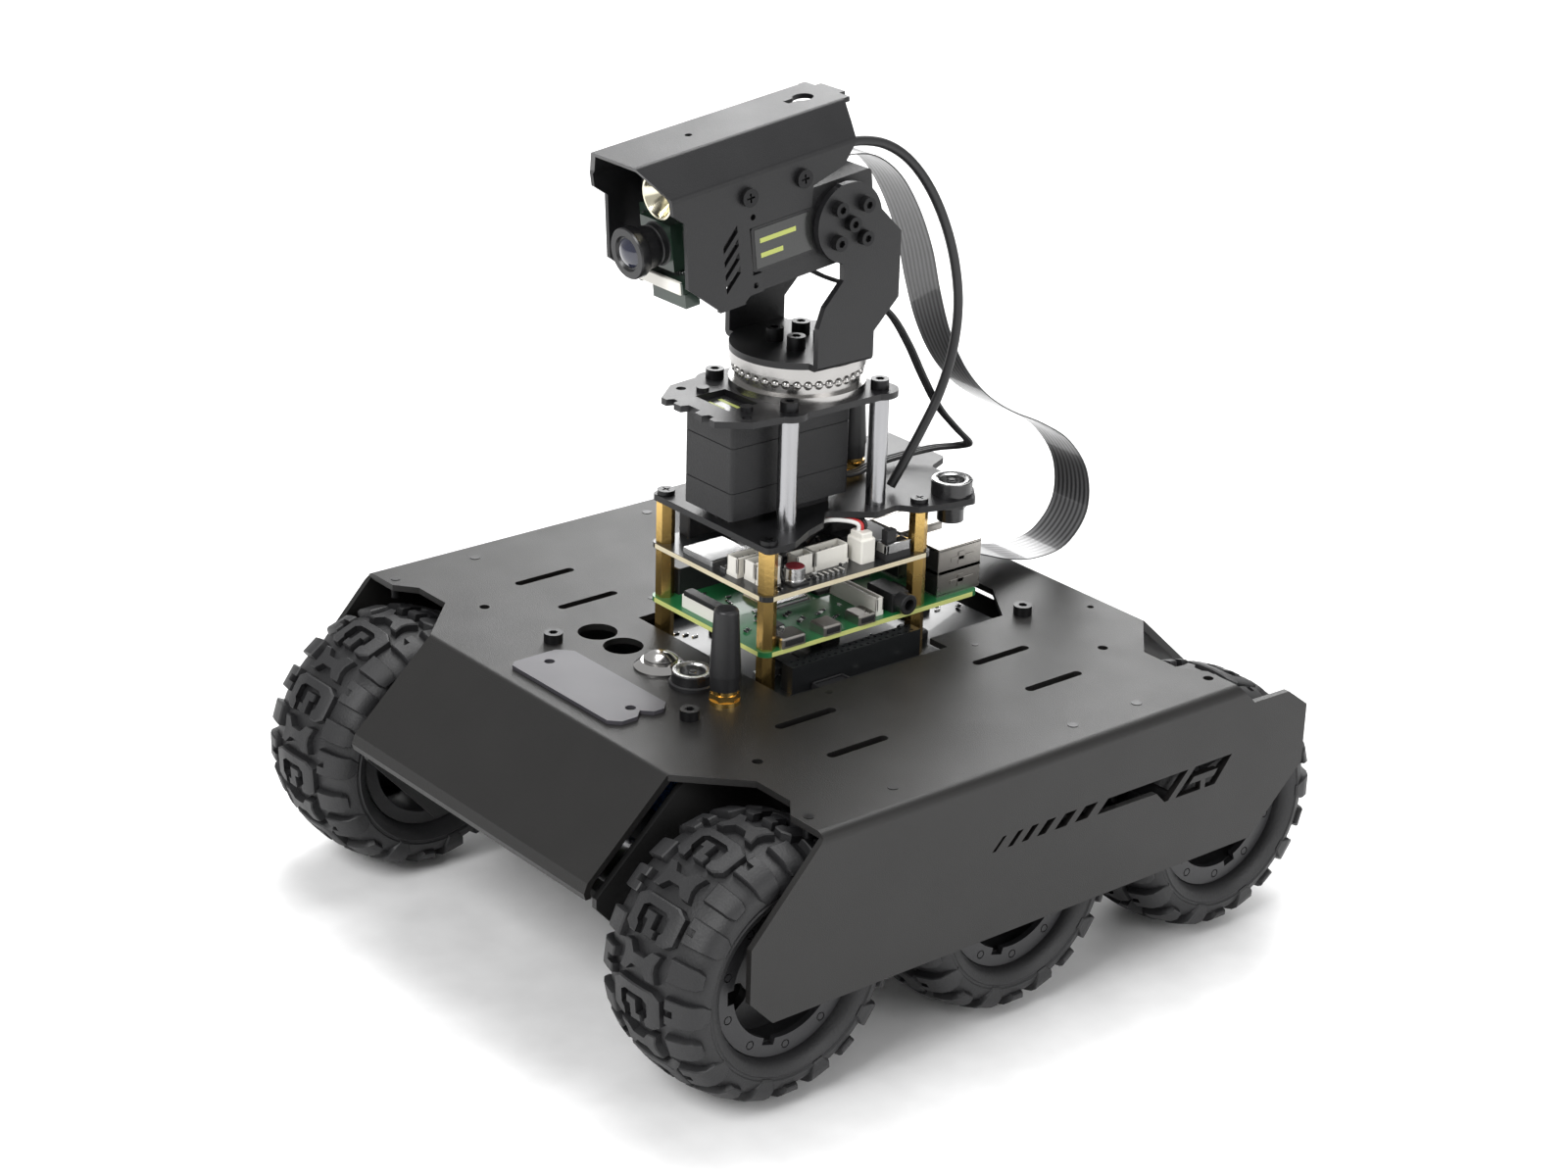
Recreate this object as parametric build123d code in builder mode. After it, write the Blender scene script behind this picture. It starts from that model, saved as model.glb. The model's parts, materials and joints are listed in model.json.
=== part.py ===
"""Six wheel rover chassis with a pan and tilt camera head.

Millimetres. Origin on the ground under the middle of the chassis.
-Y is forward, +X is the rover's left, +Z is up.
"""
import os
from math import asin, cos, pi, radians, sin, sqrt, tan

from build123d import *

os.makedirs("parts", exist_ok=True)

# ---------------------------------------------------------------- driving dimensions
WHEEL_R = 40.0
WHEEL_W = 42.5
WHEEL_X = 87.25                       # middle plane of a wheel
AXLE_Z = WHEEL_R
AXLE_Y = {"front": -85.0, "middle": 0.0, "rear": 85.0}
SIDE_SIGN = {"left": 1, "right": -1}
TREAD_PITCH = 36.0                    # degrees from one big lug to the next
TREAD_START = 3.2                     # angle of the first big lug from +Y
SHAFT_R = 3.0
RUNNING_GAP = 0.05

SHEET = 2.0
DECK_Z = 85.4                         # top face of the deck
SKIRT_X = 112.3                       # outer face of a side skirt
PANEL_Y = 92.2                        # where the deck bends down into the end panels
PANEL_HALF = 59.0
LIP_Y = 119.5
LIP_Z = 60.0
LIP_BOTTOM = 55.0
TUB_X = 59.0
TUB_FLOOR = 25.0
FLOOR_HALF_Y = 72.0

MOUNT_X = 24.5                        # 49 x 58 mm hole pattern of the boards
MOUNT_FRONT = -30.0
MOUNT_REAR = 28.0
STANDOFF_AF = 5.0
BOARD_T = 1.6
CONTROL_Z = 81.0                      # top faces of the stacked boards
COMPUTER_Z = 95.0
DRIVER_Z = 112.6
PLATE_Z = 128.0
BOARD_FRONT = -33.5

POST_X = 17.5
POST_FRONT = -17.9
POST_REAR = 16.5
POST_R = 3.0
SERVO_PLATE_Z = 164.4                 # top of the plate over the pan servo

PAN_Y = -0.7                          # pan axis, and tilt pivot in plan
PIVOT_Z = 218.7
RING_R = 20.4
TURN_Z = 175.4                        # top of the turning ring
ARM_OUTER = 21.5
SERVO_HALF = 17.5                     # tilt servo body, half its width along X
SERVO_LONG = 45.2
SERVO_SHAFT = 12.2                    # shaft axis from the servo's end
SERVO_DEEP = 24.7
HEAD_PITCH = 7.0                      # degrees nose down at rest
HOOD_SHEET = 1.5

DECK_BOTTOM = DECK_Z - SHEET
PIVOT = (0, PAN_Y, PIVOT_Z)
_c = cos(radians(HEAD_PITCH))
_s = sin(radians(HEAD_PITCH))
FORWARD = (0, -_c, -_s)
# section plane of the head: x across, y up, normal forward
HEAD = Plane(origin=PIVOT, x_dir=(1, 0, 0), z_dir=FORWARD)
# side plane of the head: x forward, y up
HEAD_SIDE = Plane(origin=PIVOT, x_dir=FORWARD, z_dir=(-1, 0, 0))
MOUNT_POINTS = [(x, y) for x in (-MOUNT_X, MOUNT_X) for y in (MOUNT_FRONT, MOUNT_REAR)]
POST_POINTS = [(x, y) for x in (-POST_X, POST_X) for y in (POST_FRONT, POST_REAR)]


def save(part, name):
    """Label a finished piece and write its file."""
    part.label = name
    export_step(part, f"parts/{name}.step")


def both_ends(points):
    """The same points at the front and, mirrored, at the rear."""
    return [(x, sy * y) for sy in (-1, 1) for x, y in points]


def both_sides(points):
    return [(sx * x, y) for sx in (-1, 1) for x, y in points]


# ---------------------------------------------------------------- body shell
def upper_shell():
    """Deck, sloping end panels and side skirts, folded from one sheet."""
    with BuildPart() as shell:
        # deck, drawn with the four wheel arches cut in
        corner = [(PANEL_HALF, PANEL_Y), (76.6, 75.0), (91.2, 75.0), (98.0, 80.4), (SKIRT_X, 80.4)]
        quarter = corner
        outline = quarter
        outline = outline + [(x, -y) for x, y in reversed(quarter)]
        outline = outline + [(-x, -y) for x, y in quarter]
        outline = outline + [(-x, y) for x, y in reversed(quarter)]
        with BuildSketch(Plane.XY.offset(DECK_BOTTOM)):
            with BuildLine():
                Polyline(outline, close=True)
            make_face()
        extrude(amount=SHEET)

        # end panels with their rolled lower lips
        slope = sqrt(0.5)
        for end in (-1, 1):
            with BuildSketch(Plane.YZ.offset(-PANEL_HALF)):
                with BuildLine():
                    Polyline(
                        (end * (PANEL_Y - 1.5), DECK_Z),
                        (end * PANEL_Y, DECK_Z),
                        (end * LIP_Y, LIP_Z),
                        (end * (LIP_Y + 1.2), LIP_Z - 3.0),
                        (end * (LIP_Y + 0.6), LIP_BOTTOM),
                        (end * (LIP_Y - 1.3), LIP_BOTTOM),
                        (end * (LIP_Y - 0.9), LIP_Z - 2.6),
                        (end * (LIP_Y - SHEET / slope / 1.45), LIP_Z - 0.6),
                        (end * (PANEL_Y - 1.5), DECK_BOTTOM + 0.2),
                        close=True,
                    )
                make_face()
            extrude(amount=2 * PANEL_HALF)

        # side skirts
        skirt = [
            (-78.9, DECK_Z), (-104.5, 58.0), (-104.5, 41.6), (-96.4, 33.3), (89.0, 33.3), (109.9, 53.0),
            (109.9, 72.2), (101.3, 78.6), (86.3, 79.0), (80.0, DECK_Z),
        ]
        for side in (-1, 1):
            start = SKIRT_X - SHEET if side > 0 else -SKIRT_X
            with BuildSketch(Plane.YZ.offset(start)):
                with BuildLine():
                    Polyline(skirt, close=True)
                make_face()
            extrude(amount=SHEET)

        # rolled bends along the skirts
        bends = shell.edges().filter_by(Axis.Y).filter_by(
            lambda e: abs(abs(e.center().X) - SKIRT_X) < 0.01 and abs(e.center().Z - DECK_Z) < 0.01
        )
        fillet(bends, 3.2)
        folds = shell.edges().filter_by(Axis.X).filter_by(
            lambda e: abs(abs(e.center().Y) - PANEL_Y) < 0.01 and abs(e.center().Z - DECK_Z) < 0.01
        )
        fillet(folds, 2.0)

        # window for the stacked boards
        with BuildSketch(Plane.XY.offset(DECK_BOTTOM)):
            with BuildLine():
                Polyline(
                    (-33, -33.5), (39, -33.5), (39, 29), (31, 29), (31, 59), (14, 70.5), (-14, 70.5),
                    (-31, 59), (-33, 29), close=True,
                )
            make_face()
        extrude(amount=SHEET, mode=Mode.SUBTRACT)

        # window for the status display
        with BuildSketch(Plane.XY.offset(DECK_BOTTOM)):
            with Locations((0, -76)):
                Rectangle(36, 12)
        extrude(amount=SHEET, mode=Mode.SUBTRACT)

        # accessory slots in pairs along the deck
        with BuildSketch(Plane.XY.offset(DECK_BOTTOM)):
            with Locations(*both_sides(both_ends([(53, 38), (76, 38)]))):
                SlotOverall(22, 3.1, rotation=90)
        extrude(amount=SHEET, mode=Mode.SUBTRACT)

        # round holes: panel fittings, board screws and spare holes
        holes = [(6.1, [(-31.5, -50), (-18.5, -50), (0, -50), (15.5, -50)]), (3.3, [(30.6, -50)])]
        holes.append((1.6, both_sides([(67, -67), (67, 67), (33.5, -65), (33.5, 65)])))
        holes.append((1.1, both_sides([(43, -21), (42.5, 37), (42, 86)])))
        holes.append((1.6, both_sides([(101.5, -47), (101.5, 21.4), (101.5, 47), (101.5, -77), (101.5, 77)])))
        for radius, places in holes:
            with BuildSketch(Plane.XY.offset(DECK_BOTTOM)):
                with Locations(*places):
                    Circle(radius)
            extrude(amount=SHEET, mode=Mode.SUBTRACT)

        # cooling louvres in the skirts, slanting back at the top
        bottoms = [(-18.2, 1.4), (-12.4, 2.1), (-7.0, 2.6), (-1.1, 3.4), (5.9, 4.6), (13.8, 5.1)]
        with BuildSketch(Plane.YZ.offset(-SKIRT_X)):
            for low, width in bottoms:
                with BuildLine():
                    Polyline(
                        (low, 60.8), (low + width, 60.8), (low + width + 4, 64.8), (low + 4, 64.8), close=True,
                    )
                make_face()
            with BuildLine():
                Polyline(
                    (22.9, 60.6), (47.0, 60.2), (50.6, 56.5), (71.7, 56.3), (78.3, 64.4), (26.9, 64.6),
                    close=True,
                )
            make_face()
        extrude(amount=2 * SKIRT_X, mode=Mode.SUBTRACT)
        # short bars left standing in the long louvre
        for side in (-1, 1):
            start = SKIRT_X - SHEET if side > 0 else -SKIRT_X
            with BuildSketch(Plane.YZ.offset(start)):
                with BuildLine():
                    Polyline((52.0, 56.4), (55.0, 56.4), (63.0, 64.6), (60.0, 64.6), close=True)
                make_face()
                with BuildLine():
                    Polyline((60.5, 59.3), (71.0, 59.3), (72.6, 61.3), (62.5, 61.3), close=True)
                make_face()
            extrude(amount=SHEET)
            with BuildSketch(Plane.YZ.offset(start)):
                with Locations((66.5, 57.9)):
                    Rectangle(2.0, 3.4)
            extrude(amount=SHEET)
    return shell.part


def lower_tub():
    """Folded tray under the deck that carries the motors and the battery."""
    profile = [
        (-84.5, DECK_BOTTOM), (-116.4, 54.0), (-116.4, 51.0), (-93.0, TUB_FLOOR), (93.0, TUB_FLOOR),
        (116.4, 51.0), (116.4, 54.0), (84.5, DECK_BOTTOM),
    ]
    with BuildPart() as tub:
        for start in (-TUB_X, TUB_X - SHEET):
            with BuildSketch(Plane.YZ.offset(start)):
                with BuildLine():
                    Polyline(profile, close=True)
                make_face()
            extrude(amount=SHEET)
        with BuildSketch(Plane.XY.offset(TUB_FLOOR)):
            Rectangle(2 * TUB_X, 2 * FLOOR_HALF_Y)
        extrude(amount=SHEET)
        # inclined closing plates behind the lips
        for end in (-1, 1):
            with BuildSketch(Plane.YZ.offset(-TUB_X)):
                with BuildLine():
                    Polyline(
                        (end * (FLOOR_HALF_Y - 1), TUB_FLOOR), (end * FLOOR_HALF_Y, TUB_FLOOR),
                        (end * 116.0, 53.4), (end * 114.8, 55.2), (end * (FLOOR_HALF_Y - 1), TUB_FLOOR + SHEET),
                        close=True,
                    )
                make_face()
            extrude(amount=2 * TUB_X)
        # windows that clear the motors
        for end in (-1, 1):
            for side in (-1, 1):
                with BuildSketch(Plane.XY.offset(TUB_FLOOR - 1)):
                    with Locations((side * 38.0, end * 85.0)):
                        Rectangle(38.0, 23.0)
                extrude(amount=30, mode=Mode.SUBTRACT)
        # shaft holes through both walls
        for y in AXLE_Y.values():
            with BuildSketch(Plane.YZ.offset(-TUB_X)):
                with Locations((y, AXLE_Z)):
                    Circle(SHAFT_R + 1.0 if y else SHAFT_R)
            extrude(amount=2 * TUB_X, mode=Mode.SUBTRACT)
        # flanges that the deck screws bite into
        for side in (-1, 1):
            with BuildSketch(Plane.XY.offset(DECK_BOTTOM - SHEET)):
                with Locations((side * (TUB_X - 6.0), 0)):
                    Rectangle(12.0, 46.0)
            extrude(amount=SHEET)
    return tub.part


def shell_screws():
    """Countersunk and socket head screws that show on the deck."""
    with BuildPart() as screws:
        flush = both_sides([(101.5, -47), (101.5, 21.4), (101.5, 47), (101.5, -77)])
        with BuildSketch(Plane.XY.offset(DECK_Z - 6)):
            with Locations(*flush):
                Circle(1.55)
        extrude(amount=6.15)
        small = both_sides([(43, -21), (42.5, 37)])
        with BuildSketch(Plane.XY.offset(CONTROL_Z)):
            with Locations(*small):
                Circle(1.05)
        extrude(amount=DECK_Z - CONTROL_Z + 0.1)
        sockets = both_sides([(33.5, -65), (33.5, 65)])
        with BuildSketch(Plane.XY.offset(DECK_Z - 6)):
            with Locations(*sockets):
                Circle(1.55)
        extrude(amount=6)
        with BuildSketch(Plane.XY.offset(DECK_Z)):
            with Locations(*sockets):
                Circle(2.9)
        extrude(amount=3.0)
        with BuildSketch(Plane.XY.offset(DECK_Z + 1.4)):
            with Locations(*sockets):
                RegularPolygon(1.45, 6)
        extrude(amount=1.6, mode=Mode.SUBTRACT)
    return screws.part


def display_window():
    """Smoked acrylic cover of the status display, with its two screws' holes."""
    with BuildPart() as window:
        with BuildSketch(Plane.XY.offset(DECK_Z)):
            with BuildLine():
                Polyline(
                    (-24, -86.5), (23, -86.5), (26, -83.5), (26, -78), (23, -75), (26, -72), (26, -68.5),
                    (23, -65.5), (-22, -65.5), (-26, -69.5), (-26, -84.5), close=True,
                )
            make_face()
            with Locations((-20, -76), (20, -76)):
                Circle(1.6, mode=Mode.SUBTRACT)
        extrude(amount=1.2)
    return window.part


# ---------------------------------------------------------------- wheels
def tyre_section(radius, shoulder):
    """Half of a tyre's outline in the plane across the wheel (x across, y out)."""
    half = WHEEL_W / 2
    with BuildLine() as section:
        ThreePointArc((-17.0, shoulder), (0, radius), (17.0, shoulder))
        ThreePointArc((17.0, shoulder), (half - 0.3, 30.0), (17.4, 24.4))
        Line((17.4, 24.4), (14.5, 24.05))
        Line((14.5, 24.05), (14.5, 22.55))
        Line((14.5, 22.55), (-15.0, 22.55))
        Line((-15.0, 22.55), (-15.0, 24.05))
        Line((-15.0, 24.05), (-17.4, 24.4))
        ThreePointArc((-17.4, 24.4), (-half + 0.3, 30.0), (-17.0, shoulder))
    return section.line


def wheel_tyre():
    """Chunky off-road tyre about the X axis: a smooth carcass and rows of lugs."""
    with BuildPart() as envelope:
        with BuildSketch(Plane.XY):
            with BuildLine():
                ThreePointArc((-18.6, 36.6), (0, WHEEL_R), (18.6, 36.6))
                ThreePointArc((18.6, 36.6), (WHEEL_W / 2, 33.5), (20.6, 29.5))
                Line((20.6, 29.5), (-20.6, 29.5))
                ThreePointArc((-20.6, 29.5), (-WHEEL_W / 2, 33.5), (-18.6, 36.6))
            make_face()
        revolve(axis=Axis.X)
    with BuildPart() as lugs:
        # centre row: a big horseshoe and a small bar in every pitch
        blocks = [
            (0.0, -7.2, 0.5, 4.2, 12.5), (-6.0, 0.0, 0.5, 16.0, 4.0), (2.5, 7.6, 2.6, 4.2, 9.0),
            (17.5, 0.0, 0.5, 15.0, 4.6), (18.0, 7.4, 0.5, 3.6, 7.2), (14.0, -7.4, 0.5, 3.6, 5.0),
            (-3.0, 16.8, 0.5, 8.4, 6.2), (15.0, 16.8, 0.5, 8.4, 6.2),
            (3.0, -16.8, 0.5, 8.4, 6.2), (21.0, -16.8, 0.5, 8.4, 6.2),
        ]
        for index in range(10):
            for angle, across, _, wide, long in blocks:
                turn = index * TREAD_PITCH + angle
                with BuildSketch(Plane(origin=(across, 0, 0), x_dir=(1, 0, 0),
                                       z_dir=(0, cos(radians(turn)), sin(radians(turn)))).offset(31)):
                    Rectangle(wide, long)
                extrude(amount=12)
        add(envelope.part, mode=Mode.INTERSECT)
    with BuildPart() as tyre:
        with BuildSketch(Plane.XY):
            add(tyre_section(38.3, 35.6))
            make_face()
        revolve(axis=Axis.X)
        add(lugs.part)
    return tyre.part


def wheel_rim(driven):
    """Moulded rim: drum, inner flange, five-spoked web and hub boss."""
    with BuildPart() as rim:
        with BuildSketch(Plane.YZ.offset(-15.0)):
            Circle(22.5)
            Circle(20.0, mode=Mode.SUBTRACT)
        extrude(amount=29.5)
        with BuildSketch(Plane.YZ.offset(-17.0)):
            Circle(24.0)
            Circle(20.0, mode=Mode.SUBTRACT)
        extrude(amount=2.0)
        with BuildSketch(Plane.YZ.offset(4.0)):
            Circle(20.2)
            with PolarLocations(13.6, 5):
                SlotCenterToCenter(3.0, 7.4, mode=Mode.SUBTRACT)
        extrude(amount=3.0)
        with BuildSketch(Plane.YZ.offset(-13.0)):
            Circle(9.0)
        extrude(amount=20.0)
        with BuildSketch(Plane.YZ.offset(-14.0)):
            Circle(SHAFT_R + RUNNING_GAP)
        extrude(amount=30.0, mode=Mode.SUBTRACT)
        if driven:
            with BuildSketch(Plane.YZ.offset(-13.0)):
                RegularPolygon(6.0, 6, major_radius=False)
            extrude(amount=6.0, mode=Mode.SUBTRACT)
    return rim.part


def wheel_ring():
    """Bead lock ring on the wheel's outer face, with five notches and ten screw seats."""
    with BuildPart() as ring:
        with BuildSketch(Plane.YZ.offset(14.5)):
            Circle(24.0)
            Circle(18.4, mode=Mode.SUBTRACT)
            with PolarLocations(18.6, 5, start_angle=-107):
                Rectangle(3.6, 4.2, mode=Mode.SUBTRACT)
        extrude(amount=2.05)
        with BuildSketch(Plane.YZ.offset(16.0)):
            with PolarLocations(21.3, 10, start_angle=-89):
                Circle(1.35)
                Circle(1.0, mode=Mode.SUBTRACT)
        extrude(amount=0.55, mode=Mode.SUBTRACT)
    return ring.part


def wheel_hub():
    """Hex drive hub with the motor's output shaft and its end screw."""
    with BuildPart() as hub:
        with BuildSketch(Plane.YZ.offset(-13.0)):
            RegularPolygon(6.0, 6, major_radius=False)
        extrude(amount=6.0)
        with BuildSketch(Plane.YZ.offset(-22.0)):
            Circle(5.0)
        extrude(amount=9.0)
        with BuildSketch(Plane.YZ.offset(-42.0)):
            Circle(SHAFT_R)
        extrude(amount=49.5)
        with BuildSketch(Plane.YZ.offset(7.05)):
            Circle(3.4)
        extrude(amount=3.0)
        with BuildSketch(Plane.YZ.offset(8.6)):
            RegularPolygon(1.6, 6)
        extrude(amount=2.0, mode=Mode.SUBTRACT)
    return hub.part


def place_wheels():
    """Six wheels: the outer corners are driven, the middle pair runs free."""
    pieces = {"tyre": wheel_tyre(), "ring": wheel_ring()}
    driven_rim = wheel_rim(True)
    free_rim = wheel_rim(False)
    hub = wheel_hub()
    for end, y in AXLE_Y.items():
        for side, sign in SIDE_SIGN.items():
            wheel = dict(pieces)
            wheel["rim"] = free_rim if end == "middle" else driven_rim
            if end != "middle":
                wheel["hub"] = hub
            for kind, shape in wheel.items():
                spin = Rotation(TREAD_START, 0, 0) if kind == "tyre" else Rotation(0, 0, 0)
                turned = spin * shape
                if sign < 0:
                    turned = mirror(turned, about=Plane.YZ)
                if end == "rear":
                    turned = mirror(turned, about=Plane.XZ)
                placed = Pos(sign * WHEEL_X, y, AXLE_Z) * turned
                save(placed, f"{end}_{side}_{kind}")


# ---------------------------------------------------------------- drive and power
def gear_motors():
    """Four gear motors lying across the tub, one at each corner."""
    with BuildPart() as motors:
        for y in (AXLE_Y["front"], AXLE_Y["rear"]):
            for side in (-1, 1):
                low = 20.5 if side > 0 else -TUB_X + SHEET
                length = TUB_X - SHEET - 20.5
                with BuildSketch(Plane.YZ.offset(low)):
                    with Locations((y, AXLE_Z)):
                        Circle(10.0)
                extrude(amount=length)
                front = TUB_X - SHEET - 12.0 if side > 0 else -TUB_X + SHEET
                with BuildSketch(Plane.YZ.offset(front)):
                    with Locations((y, AXLE_Z)):
                        Circle(SHAFT_R + RUNNING_GAP)
                extrude(amount=12.0, mode=Mode.SUBTRACT)
    return motors.part


def middle_axles():
    """Fixed stub axles of the free-running middle wheels."""
    with BuildPart() as axles:
        for side in (-1, 1):
            low = 50.0 if side > 0 else -97.0
            with BuildSketch(Plane.YZ.offset(low)):
                with Locations((0, AXLE_Z)):
                    Circle(SHAFT_R)
            extrude(amount=47.0)
            collar = TUB_X if side > 0 else -TUB_X - 13.0
            with BuildSketch(Plane.YZ.offset(collar)):
                with Locations((0, AXLE_Z)):
                    Circle(5.5)
            extrude(amount=13.0)
            nut = 52.0 if side > 0 else -TUB_X + SHEET
            with BuildSketch(Plane.YZ.offset(nut)):
                with Locations((0, AXLE_Z)):
                    RegularPolygon(5.0, 6, major_radius=False)
            extrude(amount=5.0)
            cap = 95.0 if side > 0 else -98.0
            with BuildSketch(Plane.YZ.offset(cap)):
                with Locations((0, AXLE_Z)):
                    Circle(4.2)
            extrude(amount=3.0)
    return axles.part


def battery_pack():
    """Three round cells in a tray on the tub's floor."""
    with BuildPart() as pack:
        floor = TUB_FLOOR + SHEET
        with BuildSketch(Plane.XY.offset(floor)):
            RectangleRounded(62, 76, 2)
        extrude(amount=9)
        for x in (-20, 0, 20):
            with BuildSketch(Plane.XZ.offset(-33)):
                with Locations((x, floor + 10.2)):
                    Circle(9.2)
            extrude(amount=66)
    return pack.part


def control_board():
    """Board that hangs under the deck window, with its two-row socket strip."""
    with BuildPart() as board:
        with BuildSketch(Plane.XY.offset(CONTROL_Z - BOARD_T)):
            with Locations((0, 12)):
                RectangleRounded(98, 100, 3)
            with Locations(*MOUNT_POINTS):
                Circle(1.3, mode=Mode.SUBTRACT)
        extrude(amount=BOARD_T)
        # spacers up to the deck
        with BuildSketch(Plane.XY.offset(CONTROL_Z)):
            with Locations(*both_sides([(43, -21), (42.5, 37)])):
                Circle(2.6)
                Circle(1.05, mode=Mode.SUBTRACT)
        extrude(amount=DECK_BOTTOM - CONTROL_Z)
        with BuildSketch(Plane.XY.offset(CONTROL_Z)):
            with Locations((28.5, 0)):
                Rectangle(5.0, 50.0)
        extrude(amount=8.5)
        with BuildSketch(Plane.XY.offset(CONTROL_Z + 4.5)):
            with Locations((28.5, 0)):
                with GridLocations(2.54, 2.5, 2, 19):
                    Rectangle(0.9, 0.9)
        extrude(amount=4.0, mode=Mode.SUBTRACT)
        # driver chips and coils on the top face
        for x, y, wide, long, tall in ((-14, -12, 10, 10, 1.6), (6, 8, 7, 7, 3.0), (-16, 14, 12, 8, 1.4),
                                       (14, -14, 6, 6, 3.2), (0, 46, 14, 9, 3.0)):
            with BuildSketch(Plane.XY.offset(CONTROL_Z)):
                with Locations((x, y)):
                    Rectangle(wide, long)
            extrude(amount=tall)
    return board.part


# ---------------------------------------------------------------- fittings on the deck
def button_body():
    """Chromed body of the power button, with its flange and nut."""
    with BuildPart() as body:
        with BuildSketch(Plane.XZ.offset(50)):
            with BuildLine():
                Polyline(
                    (0, 72), (5.9, 72), (5.9, DECK_Z), (8.0, DECK_Z), (8.0, DECK_Z + 0.6),
                    (5.9, DECK_Z + 2.3), (5.2, DECK_Z + 2.3), (5.2, 78), (0, 78), close=True,
                )
            make_face()
        revolve(axis=Axis((0, -50, 0), (0, 0, 1)))
        with BuildSketch(Plane.XY.offset(DECK_BOTTOM - 2.5)):
            with Locations((0, -50)):
                RegularPolygon(7.5, 6)
                Circle(5.9, mode=Mode.SUBTRACT)
        extrude(amount=2.5)
    return body.part


def button_cap():
    """Domed plunger of the power button."""
    rise = 1.7
    base = 5.1
    ball = (base**2 + rise**2) / (2 * rise)
    tip = DECK_Z + 4.9
    half_angle = asin(base / ball) / 2
    with BuildPart() as cap:
        with BuildSketch(Plane.XZ.offset(50)):
            with BuildLine():
                Line((0, 80.5), (base, 80.5))
                Line((base, 80.5), (base, tip - rise))
                ThreePointArc(
                    (base, tip - rise),
                    (ball * sin(half_angle), tip - ball + ball * cos(half_angle)),
                    (0, tip),
                )
                Line((0, tip), (0, 80.5))
            make_face()
        revolve(axis=Axis((0, -50, 0), (0, 0, 1)))
    return cap.part


def panel_jacks():
    """Two round power jacks, one on the deck and one on the ear of the stack plate."""
    places = [((15.5, -50), DECK_Z), ((24.4, 41.0), PLATE_Z)]
    with BuildPart() as jacks:
        for (x, y), seat in places:
            with BuildSketch(Plane.XY.offset(seat)):
                with Locations((x, y)):
                    Circle(6.3)
            extrude(amount=4.4)
            with BuildSketch(Plane.XY.offset(seat - 8.5)):
                with Locations((x, y)):
                    Circle(4.1)
            extrude(amount=8.5)
            with BuildSketch(Plane.XY.offset(seat + 1.0)):
                with Locations((x, y)):
                    Circle(4.3)
                    Circle(1.0, mode=Mode.SUBTRACT)
            extrude(amount=3.4, mode=Mode.SUBTRACT)
            with BuildSketch(Plane.XY.offset(seat - SHEET - 1.8)):
                with Locations((x, y)):
                    RegularPolygon(5.6, 6)
            extrude(amount=1.8)
    return jacks.part


ANTENNAS = [((30.6, -50.0), DECK_Z), ((-8.8, 29.0), PLATE_Z)]


def antennas():
    """Stub aerials: threaded sockets with nuts, and moulded sleeves screwed on them."""
    with BuildPart() as aerials:
        for (x, y), seat in ANTENNAS:
            with BuildSketch(Plane.XY.offset(seat - 7)):
                with Locations((x, y)):
                    Circle(3.1)
            extrude(amount=7.0)
            with BuildSketch(Plane.XY.offset(seat)):
                with Locations((x, y)):
                    Circle(4.6)
            extrude(amount=1.2)
            with BuildSketch(Plane.XY.offset(seat + 1.2)):
                with Locations((x, y)):
                    RegularPolygon(4.5, 6)
            extrude(amount=2.0)
            with BuildSketch(Plane.XY.offset(seat + 3.2)):
                with Locations((x, y)):
                    Circle(3.9)
            extrude(amount=1.4)
    return aerials.part


def antenna_sleeves():
    """Tapered black sleeves of the two stub aerials."""
    with BuildPart() as sleeves:
        for (x, y), seat in ANTENNAS:
            base = seat + 4.6
            with BuildSketch(Plane.XY.offset(base)):
                with Locations((x, y)):
                    Circle(4.4)
            extrude(amount=4.4)
            with BuildSketch(Plane.XY.offset(base + 4.4)):
                with Locations((x, y)):
                    Circle(4.7)
            with BuildSketch(Plane.XY.offset(base + 25.0)):
                with Locations((x, y)):
                    Circle(3.6)
            loft()
        tops = sleeves.faces().filter_by(Axis.Z).filter_by(lambda f: abs(f.area - 40.7) < 1.0)
        fillet(tops.edges(), 1.2)
    return sleeves.part


# ---------------------------------------------------------------- stacked boards
def brass_standoffs():
    """Three storeys of hexagonal brass standoffs at the four corners of the boards."""
    storeys = [
        (CONTROL_Z, COMPUTER_Z - BOARD_T), (COMPUTER_Z, DRIVER_Z - BOARD_T), (DRIVER_Z, PLATE_Z - SHEET),
    ]
    with BuildPart() as standoffs:
        for low, high in storeys:
            with BuildSketch(Plane.XY.offset(low)):
                with Locations(*MOUNT_POINTS):
                    RegularPolygon(STANDOFF_AF / 2, 6, major_radius=False)
            extrude(amount=high - low)
        # threaded studs joining one storey to the next through the boards
        with BuildSketch(Plane.XY.offset(CONTROL_Z - BOARD_T)):
            with Locations(*MOUNT_POINTS):
                Circle(1.3)
        extrude(amount=PLATE_Z - SHEET - CONTROL_Z + BOARD_T)
    return standoffs.part


def board_plate(length, top):
    """A plain board on the standoffs: rounded corners and four mounting holes."""
    with BuildPart() as board:
        with BuildSketch(Plane.XY.offset(top - BOARD_T)):
            with Locations((0, BOARD_FRONT + length / 2)):
                RectangleRounded(56, length, 3)
            with Locations(*MOUNT_POINTS):
                Circle(1.3, mode=Mode.SUBTRACT)
        extrude(amount=BOARD_T)
    return board.part


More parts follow.
